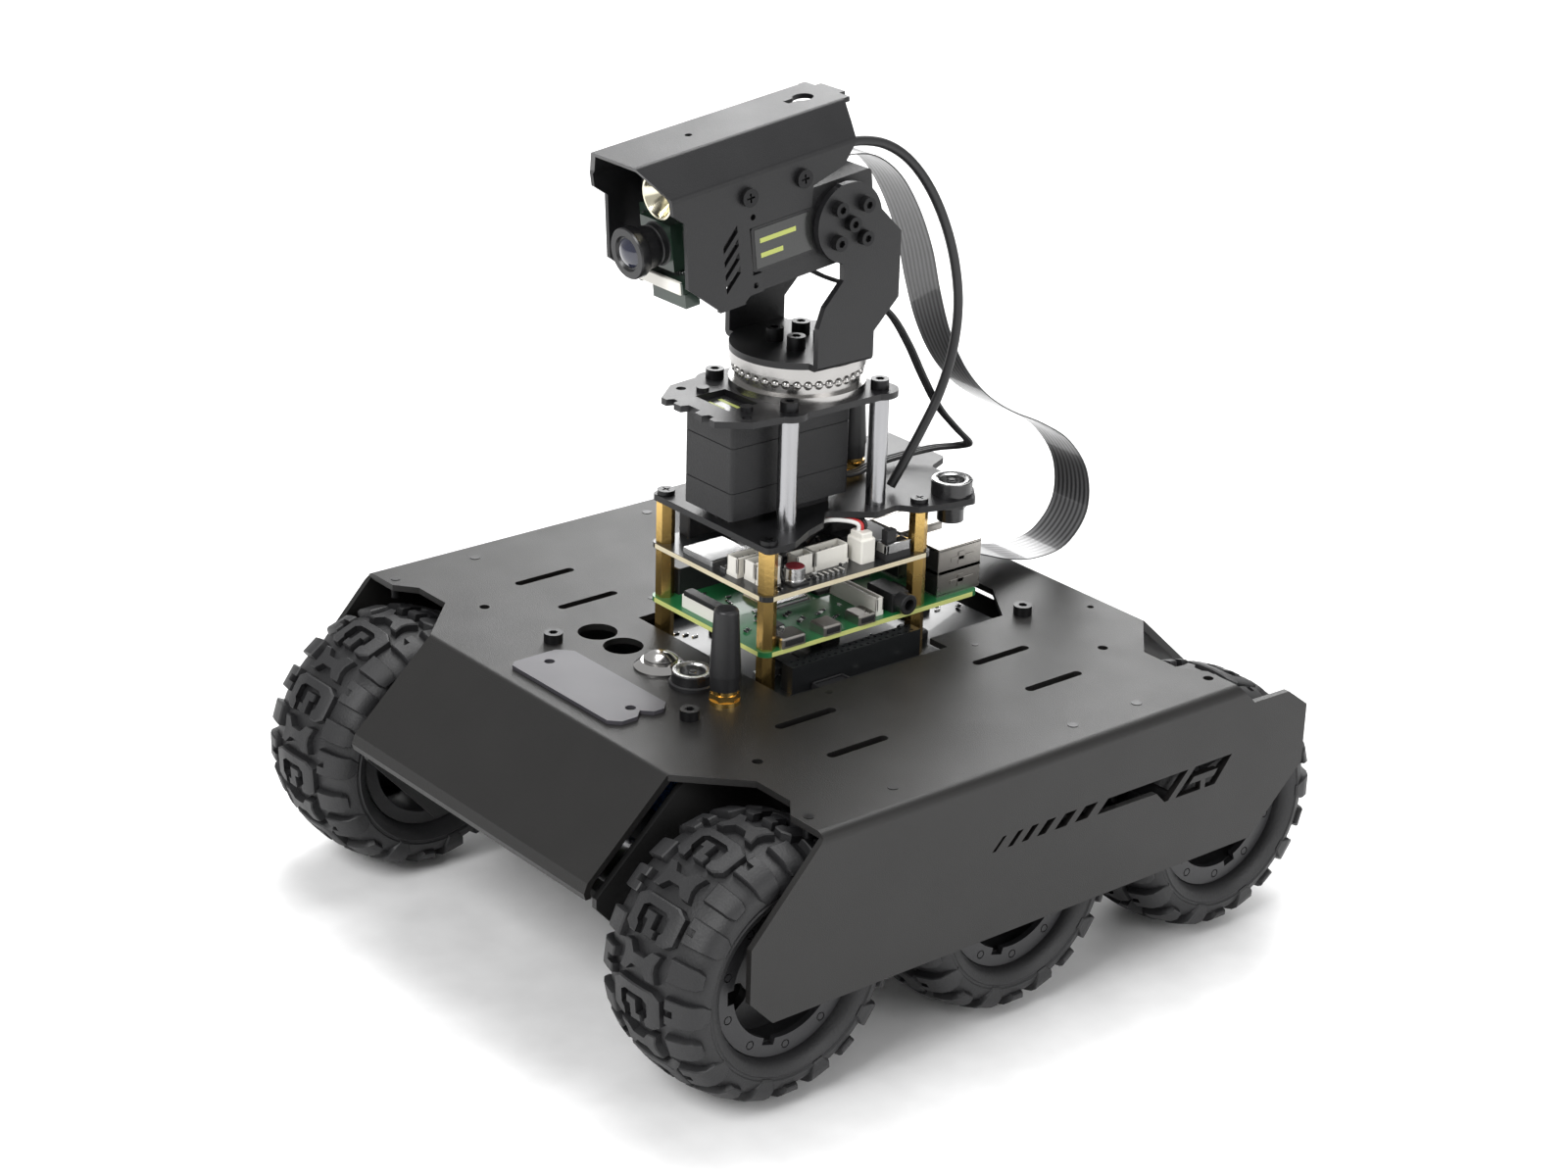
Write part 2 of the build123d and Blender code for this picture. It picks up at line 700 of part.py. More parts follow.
def computer_ports():
    """Sockets along the single-board computer's edges, and its heat spreader chips."""
    z = COMPUTER_Z
    boxes = [
        # x centre, y centre, x size, y size, height
        (19.0, 44.8, 13.1, 17.5, 15.6), (1.0, 44.8, 13.1, 17.5, 15.6), (-17.75, 42.8, 16.0, 21.4, 13.5),
        (24.9, -22.3, 7.4, 9.0, 3.2), (24.6, -7.5, 7.6, 6.8, 3.1), (24.6, 6.0, 7.6, 6.8, 3.1),
        (16.4, 13.2, 22.0, 2.6, 5.6), (-3.6, -29.6, 22.0, 2.6, 5.6),
        (-24.5, -1.0, 5.0, 51.0, 8.4), (-2.0, -4.5, 15.0, 15.0, 2.4), (-3.0, 12.0, 14.0, 10.0, 1.1),
    ]
    with BuildPart() as ports:
        for x, y, wide, long, tall in boxes:
            with BuildSketch(Plane.XY.offset(z)):
                with Locations((x, y)):
                    Rectangle(wide, long)
            extrude(amount=tall)
        # port mouths in the rear sockets
        for x in (19.0, 1.0):
            for low in (1.4, 8.9):
                with BuildSketch(Plane.XY.offset(z + low)):
                    with Locations((x, 47.6)):
                        Rectangle(11.6, 12.4)
                extrude(amount=5.2, mode=Mode.SUBTRACT)
        # headset socket
        with BuildSketch(Plane.YZ.offset(14.0)):
            with Locations((20.5, z + 3.2)):
                Circle(3.2)
        extrude(amount=16.5)
        with BuildSketch(Plane.XY.offset(z)):
            with Locations((20.5, 20.5)):
                Rectangle(12.0, 6.6)
        extrude(amount=6.0)
        with BuildSketch(Plane.YZ.offset(24.0)):
            with Locations((20.5, z + 3.2)):
                Circle(1.8)
        extrude(amount=8.0, mode=Mode.SUBTRACT)
    return ports.part


SWITCH_Y = 20.0
SWITCH_X = 24.2


def driver_parts():
    """Sockets, radio module, capacitor and spring contacts on the driver board."""
    z = DRIVER_Z
    boxes = [
        (8.5, -24.0, 7.0, 9.0, 6.2), (18.0, -24.0, 7.6, 6.4, 6.2), (17.0, -2.0, 6.0, 12.5, 6.0),
        (20.5, 9.0, 7.2, 5.6, 9.4), (-6.0, -24.5, 12.0, 15.0, 2.6), (3.0, -24.5, 3.0, 8.0, 2.2),
        (-24.5, 0.0, 5.0, 46.0, 7.6), (-2.0, 2.0, 12.0, 12.0, 1.4), (-4.0, 20.0, 16.0, 10.0, 5.8),
    ]
    with BuildPart() as parts:
        for x, y, wide, long, tall in boxes:
            with BuildSketch(Plane.XY.offset(z)):
                with Locations((x, y)):
                    Rectangle(wide, long)
            extrude(amount=tall)
        with BuildSketch(Plane.XY.offset(z)):
            with Locations((22.6, -19.0)):
                Circle(3.15)
        extrude(amount=5.4)
        # case of the slide switch, open along its top slot
        with BuildSketch(Plane.XY.offset(z)):
            with Locations((SWITCH_X, SWITCH_Y - 1.5)):
                Rectangle(5.6, 9.6)
        extrude(amount=5.2)
        with BuildSketch(Plane.XY.offset(z + 2.6)):
            with Locations((SWITCH_X, SWITCH_Y - 1.5)):
                Rectangle(2.8, 7.6)
        extrude(amount=3.0, mode=Mode.SUBTRACT)
    return parts.part


def switch_knob():
    """Sliding black knob of the switch."""
    with BuildPart() as knob:
        with BuildSketch(Plane.XY.offset(DRIVER_Z + 2.65)):
            with Locations((SWITCH_X, SWITCH_Y - 3.3)):
                Rectangle(2.6, 3.6)
        extrude(amount=6.4)
    return knob.part


def stack_plate():
    """Black plate on top of the boards, with a rear tail and an ear for a jack."""
    with BuildPart() as plate:
        with BuildSketch(Plane.XY.offset(PLATE_Z - SHEET)) as outline:
            with BuildLine():
                Polyline(
                    (-28, -33), (28, -33), (28, -23), (23.2, -14), (20.5, -6), (14, 0), (23.5, 12),
                    (22.5, 21), (28, 25), (30.5, 34), (32, 44), (25, 49.5), (4, 51), (0, 60), (-28, 60),
                    close=True,
                )
            make_face()
            fillet(outline.vertices(), 2.0)
            with Locations(*MOUNT_POINTS):
                Circle(1.3, mode=Mode.SUBTRACT)
            with Locations((24.4, 41.0)):
                Circle(4.15, mode=Mode.SUBTRACT)
            with Locations((-8.8, 29.0)):
                Circle(3.15, mode=Mode.SUBTRACT)
            with Locations((-16, 47)):
                Circle(2.2, mode=Mode.SUBTRACT)
        extrude(amount=SHEET)
    return plate.part


def support_posts():
    """Four round aluminium posts that carry the plate over the pan servo."""
    with BuildPart() as posts:
        with BuildSketch(Plane.XY.offset(PLATE_Z)):
            with Locations(*POST_POINTS):
                Circle(POST_R)
        extrude(amount=SERVO_PLATE_Z - SHEET - PLATE_Z)
    return posts.part


def stack_screws():
    """Screws of the stack: pan heads on the boards' corners, socket heads on the posts."""
    with BuildPart() as screws:
        with BuildSketch(Plane.XY.offset(PLATE_Z)):
            with Locations(*MOUNT_POINTS):
                Circle(2.7)
        extrude(amount=1.5)
        with BuildSketch(Plane.XY.offset(PLATE_Z)):
            with Locations(*MOUNT_POINTS):
                Rectangle(3.0, 0.6)
                Rectangle(0.6, 3.0)
        extrude(amount=2.0, mode=Mode.SUBTRACT)
        with BuildSketch(Plane.XY.offset(PLATE_Z - SHEET)):
            with Locations(*MOUNT_POINTS):
                Circle(1.3)
        extrude(amount=SHEET + 0.4)
        with BuildSketch(Plane.XY.offset(SERVO_PLATE_Z)):
            with Locations(*POST_POINTS):
                Circle(2.75)
        extrude(amount=3.0)
        with BuildSketch(Plane.XY.offset(SERVO_PLATE_Z + 1.4)):
            with Locations(*POST_POINTS):
                RegularPolygon(1.45, 6)
        extrude(amount=1.6, mode=Mode.SUBTRACT)
        with BuildSketch(Plane.XY.offset(SERVO_PLATE_Z - SHEET)):
            with Locations(*POST_POINTS):
                Circle(1.5)
        extrude(amount=SHEET)
    return screws.part


# ---------------------------------------------------------------- pan stage
def pan_servo():
    """Servo that turns the head, standing between the posts."""
    with BuildPart() as servo:
        with BuildSketch(Plane.XY.offset(131.0)):
            with Locations((0, PAN_Y - 10.6)):
                RectangleRounded(22.4, 44.6, 1.2)
        extrude(amount=29.4)
        with BuildSketch(Plane.XY.offset(PLATE_Z)):
            with Locations((0, PAN_Y)):
                RectangleRounded(16, 16, 2)
        extrude(amount=3.0)
        # raised lid that fills the window of the plate above
        with BuildSketch(Plane.XY.offset(160.4)):
            with Locations((0, PAN_Y - 10.6)):
                RectangleRounded(22.0, 44.0, 1.0)
        extrude(amount=2.0)
        with BuildSketch(Plane.XY.offset(156.0)):
            with Locations((0, PAN_Y)):
                Circle(SHAFT_R + RUNNING_GAP)
        extrude(amount=8.0, mode=Mode.SUBTRACT)
        with BuildSketch(Plane.XY.offset(160.4)):
            with Locations((0, PAN_Y)):
                Circle(11.5)
        extrude(amount=2.2, mode=Mode.SUBTRACT)
        # parting grooves round the case
        for z in (139.5, 153.5):
            with BuildSketch(Plane.XY.offset(z)):
                with Locations((0, PAN_Y - 10.6)):
                    RectangleRounded(23.0, 45.2, 1.2)
                    RectangleRounded(21.9, 44.1, 1.0, mode=Mode.SUBTRACT)
            extrude(amount=0.35, mode=Mode.SUBTRACT)
    return servo.part


def servo_plate():
    """Plate over the pan servo: four post lugs, a servo window and a toothed front edge."""
    with BuildPart() as plate:
        with BuildSketch(Plane.XY.offset(SERVO_PLATE_Z - SHEET)):
            with BuildLine():
                Polyline(
                    (-22, -14), (-19.5, -33), (-12.5, -41.5), (-10.2, -41.5), (-9.4, -39.3), (-7.4, -39.3),
                    (-6.6, -41.5), (-3.4, -41.5), (-2.6, -39.0), (2.6, -39.0), (3.4, -41.5), (6.6, -41.5),
                    (7.4, -39.3), (9.4, -39.3), (10.2, -41.5), (12.5, -41.5), (19.5, -33), (22, -14),
                    (22, 19), (-22, 19), close=True,
                )
            make_face()
            with Locations(*POST_POINTS):
                Circle(5.6)
            with Locations(*POST_POINTS):
                Circle(1.55, mode=Mode.SUBTRACT)
            with Locations((0, PAN_Y)):
                Circle(12.5, mode=Mode.SUBTRACT)
            with Locations((0, -27.2)):
                Rectangle(15.5, 11.0, mode=Mode.SUBTRACT)
            with Locations((-15.5, -32), (15.5, -32)):
                Circle(1.5, mode=Mode.SUBTRACT)
        extrude(amount=SHEET)
        with BuildSketch(Plane.XY.offset(SERVO_PLATE_Z)):
            with Locations((-10.3, -28.0), (10.3, -28.0)):
                Circle(1.9)
        extrude(amount=1.3)
    return plate.part


def bearing_base_ring():
    """Fixed lower ring of the slewing bearing."""
    with BuildPart() as ring:
        with BuildSketch(Plane.XY.offset(SERVO_PLATE_Z)):
            with Locations((0, PAN_Y)):
                Circle(RING_R)
        extrude(amount=2.3)
        with BuildSketch(Plane.XY.offset(SERVO_PLATE_Z + 2.3)):
            with Locations((0, PAN_Y)):
                Circle(18.7)
        extrude(amount=3.0)
        with BuildSketch(Plane.XY.offset(SERVO_PLATE_Z)):
            with Locations((0, PAN_Y)):
                Circle(14.0 + RUNNING_GAP)
        extrude(amount=6.0, mode=Mode.SUBTRACT)
    return ring.part


def bearing_turn_ring():
    """Upper ring of the slewing bearing, which turns with the yoke."""
    with BuildPart() as ring:
        with BuildSketch(Plane.XY.offset(TURN_Z - 3.0)):
            with Locations((0, PAN_Y)):
                Circle(RING_R)
        extrude(amount=3.0)
        with BuildSketch(Plane.XY.offset(SERVO_PLATE_Z + 5.7)):
            with Locations((0, PAN_Y)):
                Circle(18.7)
        extrude(amount=TURN_Z - 3.0 - SERVO_PLATE_Z - 5.7)
        with BuildSketch(Plane.XY.offset(SERVO_PLATE_Z + 0.8)):
            with Locations((0, PAN_Y)):
                Circle(14.0)
        extrude(amount=4.9)
        with BuildSketch(Plane.XY.offset(SERVO_PLATE_Z)):
            with Locations((0, PAN_Y)):
                Circle(9.0)
        extrude(amount=12.0, mode=Mode.SUBTRACT)
    return ring.part


def servo_horns():
    """Output discs of the two servos with their splined shafts."""
    with BuildPart() as horns:
        with BuildSketch(Plane.XY.offset(162.8)):
            with Locations((0, PAN_Y)):
                Circle(9.0)
        extrude(amount=TURN_Z - 162.8)
        with BuildSketch(Plane.XY.offset(157.0)):
            with Locations((0, PAN_Y)):
                Circle(SHAFT_R)
        extrude(amount=6.0)
        gap = 0.2
        thick = ARM_OUTER - SHEET - SERVO_HALF - gap
        for side in (-1, 1):
            face = SERVO_HALF + gap if side > 0 else -ARM_OUTER + SHEET
            with BuildSketch(Plane.YZ.offset(face)):
                with Locations((PAN_Y, PIVOT_Z)):
                    Circle(10.0)
            extrude(amount=thick)
            spline = SERVO_HALF - 4.0 if side > 0 else -SERVO_HALF - gap
            with BuildSketch(Plane.YZ.offset(spline)):
                with Locations((PAN_Y, PIVOT_Z)):
                    Circle(SHAFT_R)
            extrude(amount=4.0 + gap)
    return horns.part


def yoke():
    """Disc with two arms folded up from it, which carries the tilting head."""
    arm = [
        (-11.2, TURN_Z), (-11.2, 188.7), (-9.0, 194.7), (-2.4, 201.8), (-2.6, 206.4), (-9.4, 212.0),
        (-9.4, 226.4), (-4.4, 230.4), (2.6, 229.2), (12.6, 219.4), (18.8, 213.2), (18.8, 193.3),
        (9.8, 184.4), (9.8, TURN_Z),
    ]
    with BuildPart() as frame:
        with BuildSketch(Plane.XY.offset(TURN_Z)):
            with Locations((0, PAN_Y)):
                Circle(RING_R + 0.1)
                Rectangle(2 * ARM_OUTER, 21.0)
            with Locations((0, PAN_Y)):
                with GridLocations(10, 10, 2, 2):
                    Circle(1.6, mode=Mode.SUBTRACT)
        extrude(amount=SHEET)
        for side in (-1, 1):
            start = ARM_OUTER - SHEET if side > 0 else -ARM_OUTER
            with BuildSketch(Plane.YZ.offset(start)):
                with BuildLine():
                    Polyline(arm, close=True)
                make_face()
                with Locations((PAN_Y, PIVOT_Z)):
                    Circle(11.9)
            extrude(amount=SHEET)
        folds = frame.edges().filter_by(Axis.Y).filter_by(
            lambda e: abs(abs(e.center().X) - ARM_OUTER) < 0.01 and abs(e.center().Z - TURN_Z) < 0.01
        )
        fillet(folds, 1.8)
        # screw holes round the pivot
        with BuildSketch(Plane.YZ.offset(-ARM_OUTER)):
            with Locations((PAN_Y, PIVOT_Z)):
                Circle(1.6)
                with PolarLocations(7.0, 4, start_angle=45):
                    Circle(1.3)
        extrude(amount=2 * ARM_OUTER, mode=Mode.SUBTRACT)
    return frame.part


def yoke_screws():
    """Socket head screws: four on the disc, five on each arm's pivot."""
    with BuildPart() as screws:
        with BuildSketch(Plane.XY.offset(TURN_Z)):
            with Locations((0, PAN_Y)):
                with GridLocations(10, 10, 2, 2):
                    Circle(1.55)
        extrude(amount=SHEET)
        with BuildSketch(Plane.XY.offset(TURN_Z + SHEET)):
            with Locations((0, PAN_Y)):
                with GridLocations(10, 10, 2, 2):
                    Circle(2.75)
        extrude(amount=4.0)
        with BuildSketch(Plane.XY.offset(TURN_Z + SHEET + 2.4)):
            with Locations((0, PAN_Y)):
                with GridLocations(10, 10, 2, 2):
                    RegularPolygon(1.45, 6)
        extrude(amount=1.6, mode=Mode.SUBTRACT)
        for side in (-1, 1):
            seat = ARM_OUTER if side > 0 else -ARM_OUTER - 2.4
            shank = ARM_OUTER - SHEET if side > 0 else -ARM_OUTER
            socket = ARM_OUTER + 1.2 if side > 0 else -ARM_OUTER - 2.4
            for plane_at, radius, amount, mode in (
                (shank, 1.25, SHEET, Mode.ADD), (seat, 2.25, 2.4, Mode.ADD), (socket, 1.15, 1.2, Mode.SUBTRACT),
            ):
                with BuildSketch(Plane.YZ.offset(plane_at)):
                    with Locations((PAN_Y, PIVOT_Z)):
                        with PolarLocations(7.0, 4, start_angle=45):
                            Circle(radius) if mode == Mode.ADD else RegularPolygon(radius, 6)
                        Circle(radius) if mode == Mode.ADD else RegularPolygon(radius, 6)
                extrude(amount=amount, mode=mode)
    return screws.part


# ---------------------------------------------------------------- tilting head
def tilt_servo():
    """Servo inside the head, whose two discs are held by the yoke's arms."""
    middle = (SERVO_LONG - 2 * SERVO_SHAFT) / 2
    with BuildPart() as servo:
        with BuildSketch(HEAD_SIDE.offset(-SERVO_HALF)):
            with Locations((middle, 0)):
                RectangleRounded(SERVO_LONG, SERVO_DEEP, 1.5)
        extrude(amount=2 * SERVO_HALF)
        # raised label panels on both sides
        for start in (-SERVO_HALF - 0.9, SERVO_HALF):
            with BuildSketch(HEAD_SIDE.offset(start)):
                with Locations((22.0, 0.6)):
                    RectangleRounded(22.6, 13.2, 0.8)
            extrude(amount=0.9)
        # bores for the splined shafts
        for start in (-SERVO_HALF, SERVO_HALF - 4.5):
            with BuildSketch(HEAD_SIDE.offset(start)):
                Circle(SHAFT_R + RUNNING_GAP)
            extrude(amount=4.5, mode=Mode.SUBTRACT)
    return servo.part


def head_shell():
    """Folded hood: flat top, two 45 degree flanks and two sides cut round the servo."""
    with BuildPart() as hood:
        outer = [(-19, -14), (-19, 23), (-10, 32), (10, 32), (19, 23), (19, -14)]
        step = HOOD_SHEET * tan(radians(22.5))
        inner = [
            (19 - HOOD_SHEET, -14), (19 - HOOD_SHEET, 23 - step), (10 - step, 32 - HOOD_SHEET),
            (-10 + step, 32 - HOOD_SHEET), (-19 + HOOD_SHEET, 23 - step), (-19 + HOOD_SHEET, -14),
        ]
        with BuildSketch(HEAD.offset(-14)):
            with BuildLine():
                Polyline(outer + inner, close=True)
            make_face()
        extrude(amount=79)
        long_edges = hood.edges().filter_by(
            lambda e: e.length > 70 and e.center().Z > PIVOT_Z and abs(abs(e.center().X) - 10) < 0.05
        )
        fillet(long_edges, 1.6)
        side_folds = hood.edges().filter_by(
            lambda e: e.length > 70 and abs(abs(e.center().X) - 19) < 0.05 and e.center().Z > PIVOT_Z + 8
        )
        fillet(side_folds, 2.2)
        # front outline, seen from the side
        with BuildSketch(HEAD_SIDE.offset(-30)):
            with BuildLine():
                Polyline(
                    (65, 33), (65, 32), (60, 23.3), (59.8, 18.5), (55.6, 14.9), (56.9, -3.8), (46.5, -13.4),
                    (46.5, -16), (70, -16), (70, 33), close=True,
                )
            make_face()
        extrude(amount=60, mode=Mode.SUBTRACT)
        # rear and lower outline, cut round the servo and clear of the arms
        with BuildSketch(HEAD_SIDE.offset(-30)):
            with BuildLine():
                Polyline(
                    (-9.8, 34), (-9.8, 31.9), (-7.4, 26.0), (-5.2, 21.2), (-1.1, 16.4), (10.6, 13.6), (11.6, 7.6),
                    (34.2, 7.6), (34.2, -6.4), (30.8, -6.4), (30.8, -12.0), (35.6, -12.0), (37.5, -13.4),
                    (37.5, -16), (-20, -16), (-20, 34), close=True,
                )
            make_face()
        extrude(amount=60, mode=Mode.SUBTRACT)
        # rear tongue of the top
        with BuildSketch(HEAD_SIDE.offset(-10)) as tongue:
            with Locations((-11.7, 31.25)):
                Rectangle(4.6, HOOD_SHEET)
        extrude(amount=20)
        with BuildSketch(HEAD.offset(-14)):
            with BuildLine():
                Polyline((5.4, 33), (10.5, 33), (10.5, 29), (5.4, 29), close=True)
            make_face()
            mirror(about=Plane.YZ)
        extrude(amount=2.2, mode=Mode.SUBTRACT)
        # keyhole at the back of the top and a small hole at the front
        top = Plane(origin=HEAD.from_local_coords(Vector(0, 33, 0)), x_dir=FORWARD, z_dir=(0, -_s, _c))
        with BuildSketch(top.offset(-3)):
            with Locations((-2.8, 0)):
                Circle(3.1)
            with Locations((1.0, 0)):
                Rectangle(5.0, 2.6)
            with Locations((38.6, 0)):
                Circle(1.1)
        extrude(amount=4, mode=Mode.SUBTRACT)
        # slanted cooling slots in both sides
        with BuildSketch(HEAD_SIDE.offset(-30)):
            for up in (-6.6, -2.6, 1.4, 5.4):
                with BuildLine():
                    Polyline(
                        (38.4, up + 2.4), (43.8, up - 2.6), (43.8, up - 0.4), (38.4, up + 4.6), close=True,
                    )
                make_face()
        extrude(amount=60, mode=Mode.SUBTRACT)
        # block inside that the side screws bite into and the camera hangs from
        with BuildSketch(HEAD.offset(10.0)):
            with Locations((0, 17.2)):
                Rectangle(2 * (19 - HOOD_SHEET) + 0.2, 9.4)
        extrude(amount=28.0)
        with BuildSketch(HEAD.offset(38.0)):
            with Locations((0, 15.4)):
                Rectangle(24, 9.0)
        extrude(amount=9.4)
        # holes for the side screws
        with BuildSketch(HEAD_SIDE.offset(-30)):
            with Locations((34.0, 17.0), (14.3, 17.0)):
                Circle(1.2)
        extrude(amount=60, mode=Mode.SUBTRACT)
        for start in (-20, 17):
            with BuildSketch(HEAD_SIDE.offset(start)):
                with Locations((32.7, 10.6), (33.4, -9.6)):
                    Circle(0.9)
            extrude(amount=3, mode=Mode.SUBTRACT)
    return hood.part


def head_screws():
    """Pan head screws on both sides of the hood."""
    with BuildPart() as screws:
        for side in (-1, 1):
            seat = 19.0 if side > 0 else -20.5
            shank = 19.0 - 4.5 if side > 0 else -19.0
            for plane_at, radius, amount in ((seat, 2.7, 1.5), (shank, 1.2, 4.5)):
                with BuildSketch(HEAD_SIDE.offset(-plane_at - amount)):
                    with Locations((34.0, 17.0), (14.3, 17.0)):
                        Circle(radius)
                extrude(amount=amount)
        cross = [(-22.0, 2.2), (19.8, 2.2)]
        for start, amount in cross:
            with BuildSketch(HEAD_SIDE.offset(-start - amount)):
                with Locations((34.0, 17.0), (14.3, 17.0)):
                    Rectangle(2.8, 0.6)
                    Rectangle(0.6, 2.8)
            extrude(amount=amount, mode=Mode.SUBTRACT)
    return screws.part


LENS_U = 3.9


def camera_module():
    """Camera board with its lens holder and ribbon socket."""
    with BuildPart() as module:
        with BuildSketch(HEAD.offset(47.4)):
            with Locations((0, 2.0)):
                RectangleRounded(25, 20.6, 1)
        extrude(amount=1.2)
        with BuildSketch(HEAD.offset(48.6)):
            with Locations((0, LENS_U)):
                Rectangle(14, 14)
        extrude(amount=4.0)
        with BuildSketch(HEAD.offset(48.6)):
            with Locations((2.0, -6.4)):
                Rectangle(20.5, 3.4)
        extrude(amount=5.4)
        with BuildSketch(HEAD.offset(48.6)):
            with Locations((5.0, -10.2)):
                Rectangle(15.0, 4.2)
        extrude(amount=5.0)
        with BuildSketch(HEAD.offset(48.6)):
            with Locations((0, LENS_U)):
                Circle(5.0)
        extrude(amount=5.0, mode=Mode.SUBTRACT)
    return module.part


def camera_lens():
    """Screw-in wide angle lens with a domed front glass."""
    with BuildPart() as lens:
        with BuildSketch(HEAD.offset(48.7)):
            with Locations((0, LENS_U)):
                Circle(5.0)
        extrude(amount=4.0)
        with BuildSketch(HEAD.offset(52.7)):
            with Locations((0, LENS_U)):
                Circle(6.2)
        extrude(amount=7.2)
        with BuildSketch(HEAD.offset(59.9)):
            with Locations((0, LENS_U)):
                Circle(7.5)
        extrude(amount=3.4)
    return lens.part


LAMP_X = 8.0
LAMP_U = 20.8


def head_lamp():
    """Round LED lamp beside the camera: cup, reflector bowl and emitter."""
    with BuildPart() as lamp:
        axis_point = HEAD.from_local_coords(Vector(LAMP_X, LAMP_U, 0))
        with BuildSketch(Plane(origin=axis_point, x_dir=FORWARD, z_dir=(0, -_s, _c))):
            with BuildLine():
                Line((47.4, 0), (47.4, 4.6))
                Line((47.4, 4.6), (50.0, 4.6))
                Line((50.0, 4.6), (57.0, 6.5))
                Line((57.0, 6.5), (57.0, 5.9))
                Line((57.0, 5.9), (50.6, 2.0))
                Line((50.6, 2.0), (50.6, 0))
                Line((50.6, 0), (47.4, 0))
            make_face()
        revolve(axis=Axis(axis_point, FORWARD))
    return lamp.part


# ---------------------------------------------------------------- cables
def turn_radii(points):
    """Arc radius at every inner point: 0.45 of the shorter run over the tangent of half the turn."""
    radii = []
    for before, here, after in zip(points, points[1:], points[2:]):
        first = Vector(here) - Vector(before)
        second = Vector(after) - Vector(here)
        turn = radians(first.get_angle(second))
        radii.append(0.45 * min(first.length, second.length) / tan(turn / 2))
    return radii


def cable_tube(name, points, radius):
    """A cable along straight runs joined by tangent arcs."""
    radii = turn_radii(points)
    with BuildPart() as tube:
        with BuildLine() as path:
            FilletPolyline(*points, radius=radii)
        line = path.wire()
        with BuildSketch(Plane(origin=line @ 0, z_dir=line % 0)):
            Circle(radius)
        sweep(path=line)
    section = pi * radius * radius
    print(name, "length", round(line.length, 1), "radii", [round(r, 1) for r in radii],
          "volume over section x length", round(tube.part.volume / section / line.length, 3))
    return tube.part


LAMP_CABLE = [
    (11.5, 1.0, 238.5), (12.0, 9.5, 239.0), (13.0, 18.5, 237.0), (14.0, 27.0, 231.5), (15.0, 34.5, 222.5),
    (16.0, 40.5, 211.0), (17.0, 44.5, 198.0), (17.8, 46.0, 184.5), (18.0, 44.5, 171.0), (17.4, 40.5, 158.0),
    (16.0, 35.0, 146.5), (14.5, 30.0, 137.0), (13.0, 26.5, 129.9),
]
SERVO_CABLE = [
    (10.0, -6.0, 203.0), (9.5, 0.0, 199.6), (9.5, 8.0, 196.0), (10.0, 17.0, 191.0), (11.0, 25.5, 183.5),
    (12.0, 32.0, 173.5), (13.0, 37.5, 162.5), (14.0, 43.5, 152.0), (14.5, 51.0, 143.5), (13.0, 57.5, 137.5),
    (7.0, 59.5, 134.0), (0.0, 55.0, 132.0), (-3.5, 47.0, 130.6), (-4.0, 38.5, 130.2), (-3.0, 31.0, 130.2),
    (-1.0, 24.0, 130.2), (0.0, 17.0, 131.5), (0.0, 11.8, 134.0),
]
RIBBON = [
    (3.0, 233.3), (12.0, 233.8), (21.0, 231.5), (30.0, 224.5), (37.5, 213.5), (43.5, 200.0), (47.5, 186.0), (52.5, 172.0),
    (59.5, 159.5), (69.0, 149.0), (80.5, 141.0), (93.5, 134.5), (106.0, 126.0), (115.0, 113.5),
    (116.0, 99.5), (107.5, 90.0), (94.5, 88.5), (82.0, 91.0), (70.0, 95.5), (60.0, 98.5),
]
RIBBON_WIDTH = 16.0
RIBBON_THICK = 0.5


def camera_ribbon():
    """Flat ribbon from the camera down behind the stack and round into the computer."""
    radii = turn_radii([(0, y, z) for y, z in RIBBON])
    with BuildPart() as ribbon:
        with BuildSketch(Plane.YZ.offset(-RIBBON_WIDTH / 2)):
            with BuildLine() as path:
                FilletPolyline(*RIBBON, radius=radii)
            trace(line_width=RIBBON_THICK)
        extrude(amount=RIBBON_WIDTH)
    length = sum(e.length for e in path.edges())
    print("camera_ribbon length", round(length, 1), "radii", [round(r, 1) for r in radii],
          "volume over section x length", round(ribbon.part.volume / RIBBON_WIDTH / RIBBON_THICK / length, 3))
    return ribbon.part


POWER_LEADS = [
    [(20.2, 8.0, DRIVER_Z + 9.4), (20.2, 8.0, 124.0), (18.6, 5.2, 125.4), (15.6, 0.8, 125.2), (12.6, -3.2, 123.4),
     (8.8, -6.4, 119.6), (6.0, -8.6, 114.6)],
    [(20.4, 10.2, DRIVER_Z + 9.4), (20.4, 10.2, 123.6), (19.0, 13.6, 125.2), (14.6, 17.6, 124.4), (10.0, 18.8, 121.6),
     (6.0, 19.4, 118.4)],
]


def power_leads():
    """Two thin leads from the white socket on the driver board."""
    leads = [cable_tube("power_lead", points, 0.6) for points in POWER_LEADS]
    return Compound(children=leads)


def head_cables():
    """The lamp's round cable and the tilt servo's lead."""
    lamp = cable_tube("lamp_cable", LAMP_CABLE, 1.5)
    servo = cable_tube("servo_cable", SERVO_CABLE, 1.6)
    return Compound(children=[lamp, servo])


